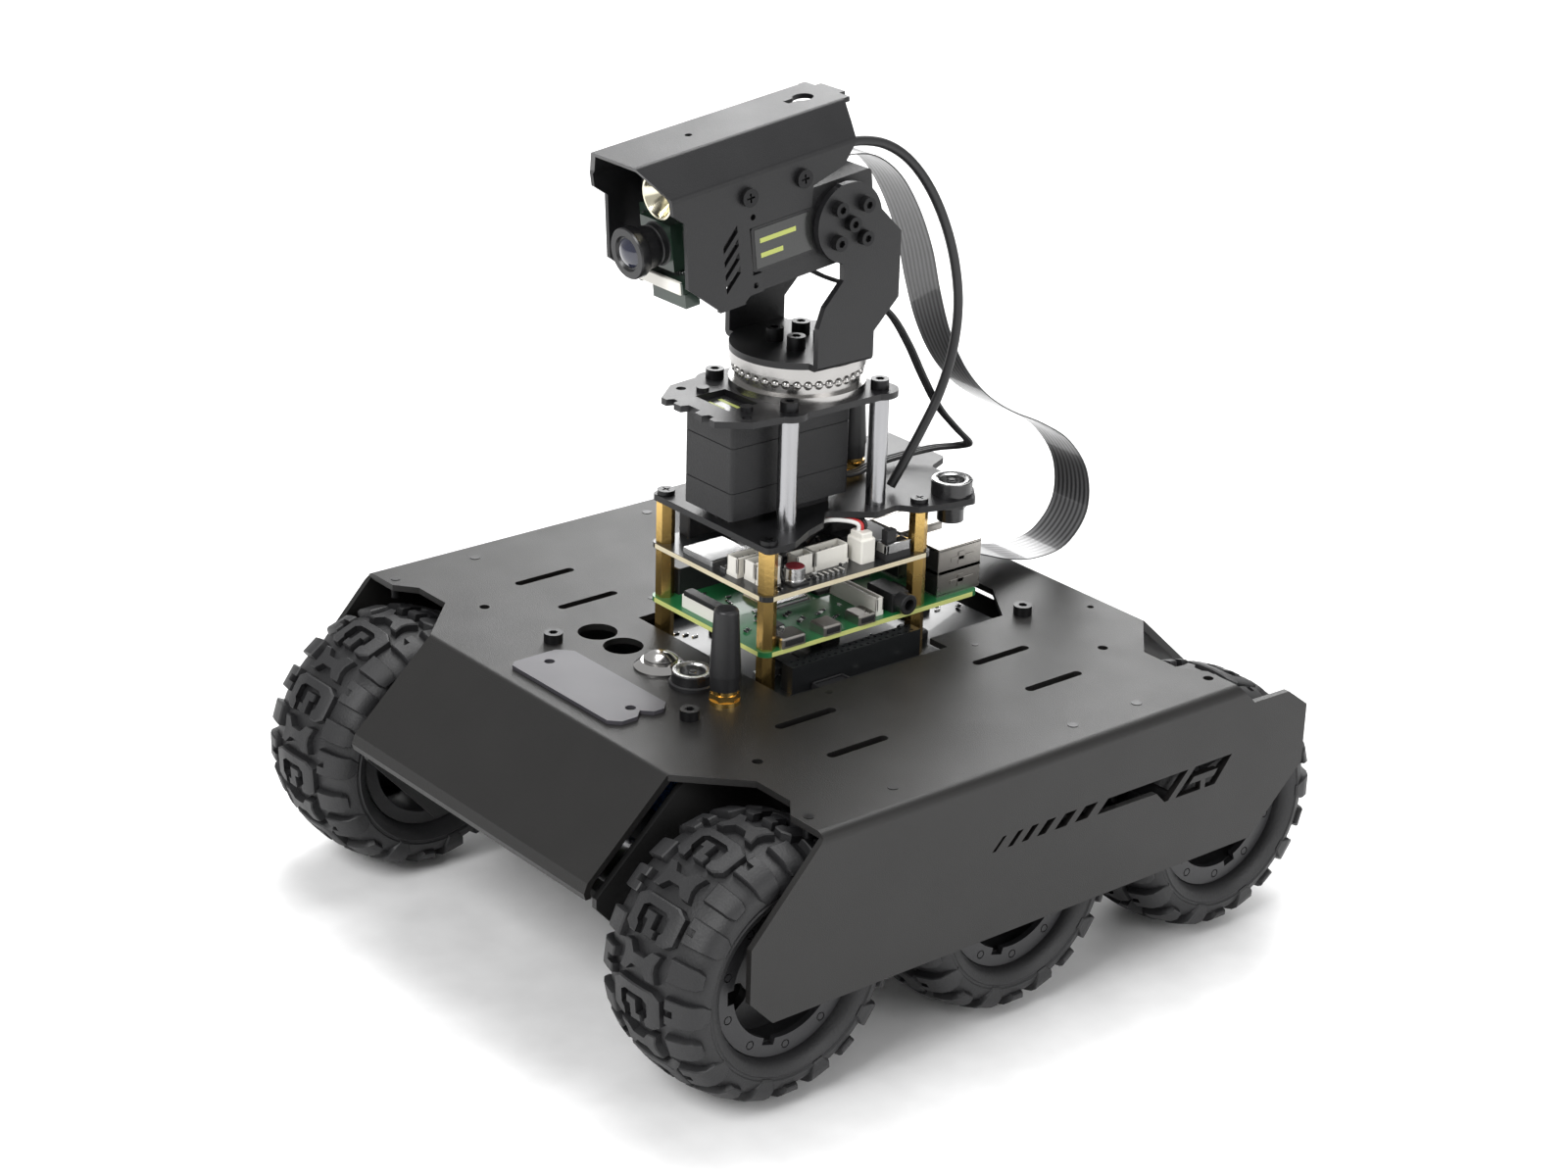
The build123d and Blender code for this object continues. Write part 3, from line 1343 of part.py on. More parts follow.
# ---------------------------------------------------------------- make every piece
PIECES = {
    "upper_shell": upper_shell, "lower_tub": lower_tub, "shell_screws": shell_screws,
    "display_window": display_window, "gear_motors": gear_motors, "middle_axles": middle_axles,
    "battery_pack": battery_pack, "control_board": control_board, "button_body": button_body,
    "button_cap": button_cap, "panel_jacks": panel_jacks, "antenna_sockets": antennas,
    "antenna_sleeves": antenna_sleeves, "brass_standoffs": brass_standoffs,
    "computer_ports": computer_ports, "driver_parts": driver_parts,
    "switch_knob": switch_knob, "stack_plate": stack_plate, "support_posts": support_posts,
    "stack_screws": stack_screws, "pan_servo": pan_servo, "servo_plate": servo_plate,
    "bearing_base_ring": bearing_base_ring, "bearing_turn_ring": bearing_turn_ring,
    "servo_horns": servo_horns, "yoke": yoke, "yoke_screws": yoke_screws, "tilt_servo": tilt_servo,
    "head_shell": head_shell, "head_screws": head_screws,
    "camera_module": camera_module, "camera_lens": camera_lens, "head_lamp": head_lamp,
    "head_cables": head_cables, "camera_ribbon": camera_ribbon, "power_leads": power_leads,
}
for piece_name, maker in PIECES.items():
    save(maker(), piece_name)
save(board_plate(85.0, COMPUTER_Z), "computer_board")
save(board_plate(65.0, DRIVER_Z), "driver_board")
place_wheels()
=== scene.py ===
"""Looks of the six wheel rover: materials, moulded tyres, board fittings and cables round the CAD frame."""
import json
from math import asin, cos, pi, radians, sin, tau

import bmesh
import bpy
from mathutils import Euler, Matrix, Vector


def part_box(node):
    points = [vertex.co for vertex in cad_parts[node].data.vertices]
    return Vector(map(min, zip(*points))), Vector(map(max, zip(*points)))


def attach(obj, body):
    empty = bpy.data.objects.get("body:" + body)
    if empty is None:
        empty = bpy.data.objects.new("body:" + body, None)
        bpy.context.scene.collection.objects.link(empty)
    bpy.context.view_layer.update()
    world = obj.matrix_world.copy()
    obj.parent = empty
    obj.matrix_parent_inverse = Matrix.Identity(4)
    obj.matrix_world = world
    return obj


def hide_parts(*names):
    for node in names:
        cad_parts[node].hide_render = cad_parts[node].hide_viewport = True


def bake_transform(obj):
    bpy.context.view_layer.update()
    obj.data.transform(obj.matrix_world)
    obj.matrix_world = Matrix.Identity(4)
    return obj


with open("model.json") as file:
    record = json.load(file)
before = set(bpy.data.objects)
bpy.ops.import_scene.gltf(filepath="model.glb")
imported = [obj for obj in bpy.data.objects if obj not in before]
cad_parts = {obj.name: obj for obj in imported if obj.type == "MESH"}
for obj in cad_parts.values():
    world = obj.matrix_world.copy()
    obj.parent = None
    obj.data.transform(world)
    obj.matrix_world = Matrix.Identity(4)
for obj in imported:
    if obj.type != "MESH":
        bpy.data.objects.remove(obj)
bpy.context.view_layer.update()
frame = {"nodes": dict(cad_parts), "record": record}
MM = 0.001
SIDES = {"left": 1, "right": -1}
ENDS = ("front", "middle", "rear")

# ---------------------------------------------------------------- camera
CAMERA_AZIMUTH = 50.15
CAMERA_ELEVATION = 22.85
CAMERA_ROLL = 1.72
CAMERA_PLACE = (0.7042, -0.5911, 0.4857)
CAMERA_LENS = 75.5


def make_camera():
    """The photo's viewing angle, with no depth of field."""
    data = bpy.data.cameras.new("camera")
    data.lens = CAMERA_LENS
    data.sensor_width = 36.0
    data.clip_start = 0.01
    camera = bpy.data.objects.new("camera", data)
    bpy.context.collection.objects.link(camera)
    turn = Euler((radians(90 - CAMERA_ELEVATION), 0, radians(CAMERA_AZIMUTH))).to_matrix()
    roll = Matrix.Rotation(radians(CAMERA_ROLL), 3, "Z")
    camera.matrix_world = Matrix.Translation(CAMERA_PLACE) @ (turn @ roll).to_4x4()
    bpy.context.scene.camera = camera


make_camera()

# ---------------------------------------------------------------- cable routes, millimetres
LAMP_CABLE = [
    (11.5, 1.0, 238.5), (12.0, 9.5, 239.0), (13.0, 18.5, 237.0), (14.0, 27.0, 231.5), (15.0, 34.5, 222.5),
    (16.0, 40.5, 211.0), (17.0, 44.5, 198.0), (17.8, 46.0, 184.5), (18.0, 44.5, 171.0), (17.4, 40.5, 158.0),
    (16.0, 35.0, 146.5), (14.5, 30.0, 137.0), (13.0, 26.5, 129.9),
]
SERVO_CABLE = [
    (10.0, -6.0, 203.0), (9.5, 0.0, 199.6), (9.5, 8.0, 196.0), (10.0, 17.0, 191.0), (11.0, 25.5, 183.5),
    (12.0, 32.0, 173.5), (13.0, 37.5, 162.5), (14.0, 43.5, 152.0), (14.5, 51.0, 143.5), (13.0, 57.5, 137.5),
    (7.0, 59.5, 134.0), (0.0, 55.0, 132.0), (-3.5, 47.0, 130.6), (-4.0, 38.5, 130.2), (-3.0, 31.0, 130.2),
    (-1.0, 24.0, 130.2), (0.0, 17.0, 131.5), (0.0, 11.8, 134.0),
]
RIBBON = [
    (3.0, 233.3), (12.0, 233.8), (21.0, 231.5), (30.0, 224.5), (37.5, 213.5), (43.5, 200.0), (47.5, 186.0),
    (52.5, 172.0), (59.5, 159.5), (69.0, 149.0), (80.5, 141.0), (93.5, 134.5), (106.0, 126.0), (115.0, 113.5),
    (116.0, 99.5), (107.5, 90.0), (94.5, 88.5), (82.0, 91.0), (70.0, 95.5), (60.0, 98.5),
]


# ---------------------------------------------------------------- materials
def material(name, color, rough, metal=0.0, grain=0.0, scale=900.0, wear=0.0, coat=0.0, alpha=1.0, emit=None):
    """A procedural finish: mottled colour, uneven roughness and a fine bump."""
    made = bpy.data.materials.new(name)
    made.use_nodes = True
    nodes = made.node_tree.nodes
    links = made.node_tree.links
    shader = nodes["Principled BSDF"]
    shader.inputs["Metallic"].default_value = metal
    shader.inputs["Coat Weight"].default_value = coat
    shader.inputs["Alpha"].default_value = alpha
    if emit:
        shader.inputs["Emission Color"].default_value = (*emit[0], 1)
        shader.inputs["Emission Strength"].default_value = emit[1]
    place = nodes.new("ShaderNodeTexCoord")
    mottle = nodes.new("ShaderNodeTexNoise")
    mottle.inputs["Scale"].default_value = 60.0
    mottle.inputs["Detail"].default_value = 4.0
    links.new(place.outputs["Object"], mottle.inputs["Vector"])
    ramp = nodes.new("ShaderNodeMapRange")
    ramp.inputs["To Min"].default_value = max(rough - 0.06 - wear * 0.1, 0.03)
    ramp.inputs["To Max"].default_value = min(rough + 0.06 + wear * 0.1, 1.0)
    links.new(mottle.outputs["Fac"], ramp.inputs["Value"])
    links.new(ramp.outputs["Result"], shader.inputs["Roughness"])
    tint = nodes.new("ShaderNodeMix")
    tint.data_type = "RGBA"
    tint.inputs["A"].default_value = (*[c * (0.9 - wear * 0.2) for c in color], 1)
    tint.inputs["B"].default_value = (*[min(c * (1.1 + wear * 0.4), 1) for c in color], 1)
    links.new(mottle.outputs["Fac"], tint.inputs["Factor"])
    links.new(tint.outputs["Result"], shader.inputs["Base Color"])
    if grain:
        fine = nodes.new("ShaderNodeTexNoise")
        fine.inputs["Scale"].default_value = scale
        fine.inputs["Detail"].default_value = 3.0
        bump = nodes.new("ShaderNodeBump")
        bump.inputs["Strength"].default_value = grain
        bump.inputs["Distance"].default_value = 0.0002
        links.new(place.outputs["Object"], fine.inputs["Vector"])
        links.new(fine.outputs["Fac"], bump.inputs["Height"])
        links.new(bump.outputs["Normal"], shader.inputs["Normal"])
    return made


def ribbon_material():
    """Grey film with dark conductors running along it."""
    made = material("ribbon_film", (0.30, 0.30, 0.31), 0.3, coat=0.4)
    nodes = made.node_tree.nodes
    links = made.node_tree.links
    shader = nodes["Principled BSDF"]
    place = nodes.new("ShaderNodeTexCoord")
    wave = nodes.new("ShaderNodeTexWave")
    wave.bands_direction = "X"
    wave.inputs["Scale"].default_value = 160.0
    links.new(place.outputs["Object"], wave.inputs["Vector"])
    lines = nodes.new("ShaderNodeMix")
    lines.data_type = "RGBA"
    lines.inputs["A"].default_value = (0.012, 0.012, 0.013, 1)
    lines.inputs["B"].default_value = (0.16, 0.16, 0.165, 1)
    links.new(wave.outputs["Fac"], lines.inputs["Factor"])
    links.new(lines.outputs["Result"], shader.inputs["Base Color"])
    return made


LOOKS = {
    "shell_paint": material("shell_paint", (0.0075, 0.0070, 0.0066), 0.45, 0.1, 0.35, 2600),
    "tub_paint": material("tub_paint", (0.016, 0.016, 0.016), 0.5, 0.2, 0.35, 2600),
    "plate_black": material("plate_black", (0.008, 0.008, 0.009), 0.38, 0.1, 0.25, 2600),
    "hood_black": material("hood_black", (0.008, 0.008, 0.009), 0.4, 0.1, 0.25, 2600),
    "black_steel": material("black_steel", (0.018, 0.018, 0.019), 0.32, 0.7, 0.15, 1500, wear=0.3),
    "tyre": material("tyre", (0.010, 0.010, 0.011), 0.52, 0.0, 0.5, 1400, wear=0.4),
    "rim_plastic": material("rim_plastic", (0.012, 0.012, 0.013), 0.45, 0.0, 0.3, 1600),
    "ring_plastic": material("ring_plastic", (0.022, 0.022, 0.024), 0.36, 0.1, 0.2, 1600),
    "hub_metal": material("hub_metal", (0.55, 0.55, 0.56), 0.28, 1.0, 0.15, 900),
    "motor_can": material("motor_can", (0.45, 0.45, 0.46), 0.3, 1.0, 0.15, 900),
    "axle_steel": material("axle_steel", (0.5, 0.5, 0.5), 0.25, 1.0, 0.1, 900),
    "battery_wrap": material("battery_wrap", (0.02, 0.08, 0.25), 0.25, 0.0, 0.05, 700, coat=0.5),
    "black_board": material("black_board", (0.012, 0.013, 0.014), 0.3, 0.0, 0.1, 1200, coat=0.3),
    "green_board": material("green_board", (0.015, 0.16, 0.05), 0.3, 0.0, 0.1, 1200, coat=0.3),
    "port_metal": material("port_metal", (0.45, 0.43, 0.40), 0.28, 1.0, 0.1, 900, wear=0.3),
    "socket_plastic": material("socket_plastic", (0.72, 0.68, 0.58), 0.42, 0.0, 0.15, 1200),
    "brass": material("brass", (0.72, 0.48, 0.16), 0.24, 1.0, 0.1, 900, wear=0.3),
    "post_metal": material("post_metal", (0.36, 0.36, 0.37), 0.22, 1.0, 0.08, 700),
    "bearing_metal": material("bearing_metal", (0.42, 0.41, 0.40), 0.24, 1.0, 0.12, 800, wear=0.3),
    "servo_plastic": material("servo_plastic", (0.009, 0.009, 0.010), 0.5, 0.0, 0.5, 1800),
    "horn_metal": material("horn_metal", (0.6, 0.6, 0.62), 0.25, 1.0, 0.1, 900),
    "smoked_acrylic": material("smoked_acrylic", (0.05, 0.048, 0.056), 0.42, 0.0, 0.03, 500),
    "button_chrome": material("button_chrome", (0.55, 0.54, 0.53), 0.12, 1.0, 0.04, 700),
    "button_steel": material("button_steel", (0.52, 0.51, 0.50), 0.2, 1.0, 0.06, 900),
    "jack_plastic": material("jack_plastic", (0.012, 0.012, 0.013), 0.25, 0.0, 0.08, 900, coat=0.3),
    "antenna_gold": material("antenna_gold", (0.85, 0.56, 0.18), 0.2, 1.0, 0.08, 900),
    "antenna_rubber": material("antenna_rubber", (0.008, 0.008, 0.009), 0.4, 0.0, 0.2, 1500),
    "knob_plastic": material("knob_plastic", (0.013, 0.013, 0.014), 0.4, 0.0, 0.2, 1500),
    "cable_rubber": material("cable_rubber", (0.013, 0.013, 0.014), 0.4, 0.0, 0.15, 1200),
    "ribbon_film": ribbon_material(),
    "lead_jacket": material("lead_jacket", (0.5, 0.03, 0.03), 0.35, 0.0, 0.05, 900),
    "camera_board": material("camera_board", (0.014, 0.03, 0.02), 0.3, 0.0, 0.1, 1200, coat=0.3),
    "lens_black": material("lens_black", (0.012, 0.012, 0.013), 0.3, 0.1, 0.1, 1200),
    "lamp_reflector": material("lamp_reflector", (0.85, 0.80, 0.62), 0.16, 1.0, 0.05, 600),
}
WHITE_PLASTIC = material("white_plastic", (0.82, 0.80, 0.74), 0.38, 0.0, 0.12, 1200)
WHITE_PIECE = material("white_lead", (0.78, 0.78, 0.76), 0.4, 0.0, 0.05, 900)
BLACK_PLASTIC = material("black_plastic", (0.013, 0.013, 0.014), 0.42, 0.0, 0.2, 1500)
BLACK_CHIP = material("black_chip", (0.02, 0.02, 0.021), 0.5, 0.0, 0.3, 1500)
GOLD = material("gold_pin", (0.86, 0.62, 0.22), 0.22, 1.0, 0.05, 900)
TIN = material("tin", (0.66, 0.66, 0.66), 0.24, 1.0, 0.1, 900)
LABEL = material("label", (0.02, 0.021, 0.02), 0.25, 0.0, 0.04, 900, coat=0.4)
LABEL_MARK = material("label_mark", (0.45, 0.5, 0.12), 0.4, 0.0, 0.04, 900)
GLASS = material("lens_glass", (0.01, 0.012, 0.03), 0.04, 0.0, 0.01, 300, coat=1.0)
LED = material("lamp_emitter", (0.9, 0.72, 0.2), 0.3, 0.0, 0.03, 900, emit=((1.0, 0.85, 0.4), 0.4))
BOARD_EDGE = material("board_edge", (0.62, 0.66, 0.22), 0.5, 0.0, 0.05, 900)
CREAM_EDGE = material("cream_edge", (0.72, 0.64, 0.45), 0.5, 0.0, 0.05, 900)
CAN_SLEEVE = material("can_sleeve", (0.25, 0.02, 0.03), 0.3, 0.0, 0.05, 900, coat=0.3)

for row in frame["record"]["subparts"]:
    node = frame["nodes"][row["node"]]
    node.data.materials.clear()
    node.data.materials.append(LOOKS[row["material_slot"]])


# ---------------------------------------------------------------- mesh helpers, millimetres in, metres out
class Mesh:
    """Collects closed solids, each with its own material, into one object."""

    def __init__(self):
        self.verts = []
        self.faces = []
        self.marks = []
        self.looks = []

    def add(self, points, faces, look):
        """One closed solid."""
        if look not in self.looks:
            self.looks.append(look)
        start = len(self.verts)
        self.verts += [tuple(p) for p in points]
        self.faces += [[start + i for i in face] for face in faces]
        self.marks += [self.looks.index(look)] * len(faces)

    def block(self, low, high, look, chamfer=0.25, place=None):
        """A box whose upright and top edges are chamfered."""
        (x0, y0, z0), (x1, y1, z1) = low, high
        c = min(chamfer, (x1 - x0) / 3, (y1 - y0) / 3, (z1 - z0) / 3)

        def ring(inset, z):
            a, b, d, e = x0 + inset, x1 - inset, y0 + inset, y1 - inset
            return [(a + c, d, z), (b - c, d, z), (b, d + c, z), (b, e - c, z),
                    (b - c, e, z), (a + c, e, z), (a, e - c, z), (a, d + c, z)]

        points = ring(0, z0) + ring(0, z1 - c) + ring(c * 0.8, z1)
        if place:
            points = [place @ Vector(p) for p in points]
        faces = [list(reversed(range(8))), [16 + i for i in range(8)]]
        for row in (0, 8):
            faces += [[row + i, row + (i + 1) % 8, row + 8 + (i + 1) % 8, row + 8 + i] for i in range(8)]
        self.add(points, faces, look)

    def turned(self, profile, place, look, sides=32):
        """A closed profile of (radius, height) turned about the Z axis of place."""
        points = []
        for step in range(sides):
            angle = tau * step / sides
            points += [place @ Vector((r * cos(angle), r * sin(angle), h)) for r, h in profile]
        count = len(profile)
        faces = []
        for step in range(sides):
            here, there = step * count, (step + 1) % sides * count
            for i in range(count):
                j = (i + 1) % count
                if profile[i][0] < 1e-6 and profile[j][0] < 1e-6:
                    continue
                faces.append([here + i, there + i, there + j, here + j])
        self.add(points, faces, look)

    def tube(self, path, radius, look, sides=12):
        """A round tube along a list of points."""
        points = []
        side = Vector((1, 0, 0))
        for i, here in enumerate(path):
            ahead = path[min(i + 1, len(path) - 1)] - path[max(i - 1, 0)]
            ahead.normalize()
            side = (side - ahead * side.dot(ahead)).normalized()
            up = ahead.cross(side)
            points += [here + (side * cos(tau * k / sides) + up * sin(tau * k / sides)) * radius
                       for k in range(sides)]
        faces = [list(reversed(range(sides))), [len(points) - sides + k for k in range(sides)]]
        for i in range(len(path) - 1):
            for k in range(sides):
                n = (k + 1) % sides
                faces.append([i * sides + k, i * sides + n, (i + 1) * sides + n, (i + 1) * sides + k])
        self.add(points, faces, look)

    def make(self, name, smooth=35):
        """The finished object, with its geometry in metres."""
        data = bpy.data.meshes.new(name)
        data.from_pydata([[c * MM for c in v] for v in self.verts], [], self.faces)
        for look in self.looks:
            data.materials.append(look)
        data.polygons.foreach_set("material_index", self.marks)
        shaped = bmesh.new()
        shaped.from_mesh(data)
        bmesh.ops.remove_doubles(shaped, verts=shaped.verts, dist=1e-7)
        bmesh.ops.recalc_face_normals(shaped, faces=shaped.faces)
        for face in shaped.faces:
            face.smooth = True
        for edge in shaped.edges:
            if len(edge.link_faces) == 2 and edge.calc_face_angle(0) > radians(smooth):
                edge.smooth = False
        shaped.to_mesh(data)
        shaped.free()
        piece = bpy.data.objects.new(name, data)
        bpy.context.collection.objects.link(piece)
        return piece


def smooth_path(points, steps=6):
    """A smooth line through the points of a route."""
    points = [Vector(p) for p in points]
    line = []
    for i in range(len(points) - 1):
        p0 = points[max(i - 1, 0)]
        p1, p2 = points[i], points[i + 1]
        p3 = points[min(i + 2, len(points) - 1)]
        for k in range(steps):
            t = k / steps
            line.append(0.5 * (2 * p1 + (p2 - p0) * t + (2 * p0 - 5 * p1 + 4 * p2 - p3) * t**2
                               + (3 * p1 - p0 - 3 * p2 + p3) * t**3))
    line.append(points[-1])
    return line


def corner(node):
    """A CAD node's lowest and highest corners, in millimetres."""
    low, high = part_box(node)
    return Vector(low) / MM, Vector(high) / MM


# ---------------------------------------------------------------- tyres
TYRE_PROFILE = [
    (0, 39.95), (5, 39.7), (10, 39.0), (15, 37.8), (18.4, 36.5), (20.2, 34.6), (20.9, 32.2), (20.9, 30.4),
]
BIG_LUG = [
    (-8.5, -7), (-6, -10), (6, -10), (8.5, -7.4), (8.5, -4.8), (5, -4.8), (3.4, -6), (-3, -6), (-4.8, -4),
    (-4.8, 4), (-3, 6), (3.4, 6), (5, 4.8), (8.5, 4.8), (8.5, 7.4), (6, 10), (-6, 10), (-8.5, 7),
]
INNER_LUG = [
    (-2.2, -3.2), (1.2, -3.2), (1.2, -1.6), (7.6, -1.6), (7.6, 2.6), (4.2, 2.6), (4.2, 1.0), (-2.2, 1.0),
]
BONE_LUG = [
    (12, -7.6), (16.4, -6.4), (19.6, -6.4), (24, -7.6), (24, -4.6), (20.4, -2.4), (20.4, 2.4), (24, 4.6),
    (24, 7.6), (19.6, 6.4), (16.4, 6.4), (12, 7.6), (12, 4.6), (15.6, 2.4), (15.6, -2.4), (12, -4.6),
]
NOTCHED_SHOULDER = [
    (-5.8, 11.8), (-1.6, 11.8), (-1.6, 14.6), (1.8, 14.6), (1.8, 11.8), (5.8, 11.8),
    (5.8, 24.5), (3.2, 27.2), (-3.2, 27.2), (-5.8, 24.5),
]
SQUARE_SHOULDER = [(-4.8, 11.2), (4.8, 11.2), (4.8, 20.5), (3.4, 23.0), (-3.4, 23.0), (-4.8, 20.5)]


def profile_point(across, sink):
    """The tyre's outline at an arc length from the crown, sunk below its surface."""
    sign = 1 if across >= 0 else -1
    left = abs(across)
    for (x0, r0), (x1, r1) in zip(TYRE_PROFILE, TYRE_PROFILE[1:]):
        run = ((x1 - x0) ** 2 + (r1 - r0) ** 2) ** 0.5
        if left <= run or (x1, r1) == TYRE_PROFILE[-1]:
            t = left / run
            nx, nr = (r0 - r1) / run, (x1 - x0) / run
            return sign * (x0 + (x1 - x0) * t - nx * sink), r0 + (r1 - r0) * t - nr * sink
        left -= run


def lug(mesh, outline, turn, side, look, depth=3.0):
    """A raised block on the tread: its outline is (degrees, arc length across)."""
    flat = bmesh.new()
    flat.faces.new([flat.verts.new((a, s, 0)) for a, s in outline])
    for cut in (-24, -21, -18, -14, -10, -5, 0, 5, 10, 14, 18, 21, 24):
        everything = flat.verts[:] + flat.edges[:] + flat.faces[:]
        bmesh.ops.bisect_plane(flat, geom=everything, plane_co=(0, cut, 0), plane_no=(0, 1, 0))
    flat.verts.index_update()
    centre = Vector((sum(a for a, _ in outline), sum(s for _, s in outline))) / len(outline)

    def place(v, sink, spread):
        angle = radians(turn + centre[0] + (v.co.x - centre[0]) * spread)
        across = centre[1] + (v.co.y - centre[1]) * spread
        x, r = profile_point(across, sink)
        return side * x, r * cos(angle), r * sin(angle)

    count = len(flat.verts)
    levels = [(0.0, 0.93), (0.35, 1.0), (depth, 1.06)]
    points = [place(v, sink, spread) for sink, spread in levels for v in flat.verts]
    faces = [[v.index for v in f.verts] for f in flat.faces]
    faces += [[2 * count + v.index for v in reversed(f.verts)] for f in flat.faces]
    for edge in flat.edges:
        if len(edge.link_faces) == 1:
            a, b = (v.index for v in edge.verts)
            faces += [[a, b, count + b, count + a], [count + a, count + b, 2 * count + b, 2 * count + a]]
    mesh.add(points, faces, look)
    flat.free()


def tyre_mesh(side, flip):
    """A moulded tyre about its own centre: ribbed carcass and ten pitches of lugs."""
    look = LOOKS["tyre"]
    mesh = Mesh()
    half = [(0, 37.5), (6, 37.2), (12, 36.2), (16.5, 34.8), (18.9, 33.2), (20.2, 31.4), (20.7, 29.6),
            (20.3, 29.2), (20.3, 28.6), (20.6, 28.2), (19.9, 26.2), (18.6, 25.0), (17.2, 24.35),
            (14.6, 24.1), (14.6, 22.7)]
    outline = half + [(-x, r) for x, r in reversed(half[1:])]
    about_x = Matrix.Rotation(pi / 2, 4, "Y")
    mesh.turned([(r, x) for x, r in outline], about_x, look, sides=90)
    for pitch in range(10):
        turn = pitch * 36 + 3.2
        lug(mesh, BIG_LUG, turn, side, look, 2.7)
        lug(mesh, INNER_LUG, turn, side, look, 2.7)
        lug(mesh, BONE_LUG, turn, side, look, 2.7)
        lug(mesh, NOTCHED_SHOULDER, turn - 3, side, look, 2.4)
        lug(mesh, SQUARE_SHOULDER, turn + 15, side, look, 2.4)
        lug(mesh, NOTCHED_SHOULDER, turn - 11, -side, look, 2.4)
        lug(mesh, SQUARE_SHOULDER, turn + 9, -side, look, 2.4)
    if flip:
        mesh.verts = [(x, -y, z) for x, y, z in mesh.verts]
    return mesh


def make_tyres():
    """The six moulded tyres, which stand for the CAD's plain ones."""
    for end in ENDS:
        for side, sign in SIDES.items():
            node = f"{end}_{side}_tyre"
            low, high = corner(node)
            middle = (low + high) / 2
            mesh = tyre_mesh(sign, end == "rear")
            mesh.verts = [(x + middle.x, y + middle.y, z + middle.z) for x, y, z in mesh.verts]
            tyre = mesh.make(f"{node}_moulded", 30)
            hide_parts(node)
            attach(tyre, f"{end}_{side}_wheel")


# ---------------------------------------------------------------- cables
def split_cable(name, node, route, cut, radius, look):
    """A cable in two lengths that meet where it passes behind the yoke."""
    line = smooth_path(route)
    at = cut * 6
    upper = Mesh()
    upper.tube(line[:at + 1], radius, look)
    above = upper.make(f"{name}_upper", 60)
    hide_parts(node)
    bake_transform(above)
    lower = Mesh()
    lower.tube(line[at:], radius, look)
    below = lower.make(f"{name}_lower", 60)
    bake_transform(below)


def strip(line, width, thick, look):
    """A flat ribbon along a line in the plane x = 0."""
    mesh = Mesh()
    points = []
    across = 8
    for i, here in enumerate(line):
        ahead = (line[min(i + 1, len(line) - 1)] - line[max(i - 1, 0)]).normalized()
        out = Vector((1, 0, 0)).cross(ahead) * (thick / 2)
        row = [here + Vector((width * (k / across - 0.5), 0, 0)) for k in range(across + 1)]
        points += [p + out for p in row] + [p - out for p in reversed(row)]
    ring = 2 * (across + 1)
    faces = [list(reversed(range(ring))), [len(points) - ring + k for k in range(ring)]]
    for i in range(len(line) - 1):
        for k in range(ring):
            n = (k + 1) % ring
            faces.append([i * ring + k, i * ring + n, (i + 1) * ring + n, (i + 1) * ring + k])
    mesh.add(points, faces, look)
    return mesh


def make_cables():
    """The lamp's cable, the servo's three leads and the camera's ribbon."""
    split_cable("lamp_cable", "head_cables", LAMP_CABLE, 4, 1.5, LOOKS["cable_rubber"])
    for lane in (-1.3, 0.0, 1.3):
        route = [(x + lane, y, z) for x, y, z in SERVO_CABLE]
        split_cable(f"servo_lead_{int(lane * 10) + 13}", "head_cables", route, 3, 0.62, LOOKS["cable_rubber"])
    line = smooth_path([(0, y, z) for y, z in RIBBON])
    cut = 24
    above = strip(line[:cut + 1], 16, 0.4, LOOKS["ribbon_film"]).make("ribbon_upper", 60)
    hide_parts("camera_ribbon")
    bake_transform(above)
    below = strip(line[cut:], 16, 0.4, LOOKS["ribbon_film"]).make("ribbon_lower", 60)
    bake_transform(below)


# ---------------------------------------------------------------- boards
def socket(mesh, x, y, wide, long, base, tall, look, pins=0, along="y"):
    """An open connector: a floor, four walls and a row of pins."""
    wall = 0.7
    x0, x1, y0, y1 = x - wide / 2, x + wide / 2, y - long / 2, y + long / 2
    mesh.block((x0, y0, base), (x1, y1, base + 1.6), look, 0.15)
    mesh.block((x0, y0, base + 1.5), (x0 + wall, y1, base + tall), look, 0.15)
    mesh.block((x1 - wall, y0, base + 1.5), (x1, y1, base + tall), look, 0.15)
    mesh.block((x0, y0, base + 1.5), (x1, y0 + wall, base + tall), look, 0.15)
    mesh.block((x0, y1 - wall, base + 1.5), (x1, y1, base + tall), look, 0.15)
    for k in range(pins):
        t = (k + 0.5) / pins
        px = x if along == "y" else x0 + wall + (wide - 2 * wall) * t
        py = y0 + wall + (long - 2 * wall) * t if along == "y" else y
        mesh.block((px - 0.3, py - 0.3, base + 1.5), (px + 0.3, py + 0.3, base + tall - 0.8), TIN, 0.1)


def chips(mesh, top, rows):
    """Small black packages with tinned legs down two sides."""
    for x, y, wide, long, tall in rows:
        low = (x - wide / 2, y - long / 2, top)
        high = (x + wide / 2, y + long / 2, top + tall)
        mesh.block(low, high, BLACK_CHIP, 0.2)
        legs = int(long / 0.9)
        for k in range(legs):
            at = y - long / 2 + (k + 0.5) * long / legs
            for sign in (-1, 1):
                edge = x + sign * (wide / 2 + 0.25)
                mesh.block((edge - 0.35, at - 0.18, top), (edge + 0.35, at + 0.18, top + 0.35), TIN, 0.08)


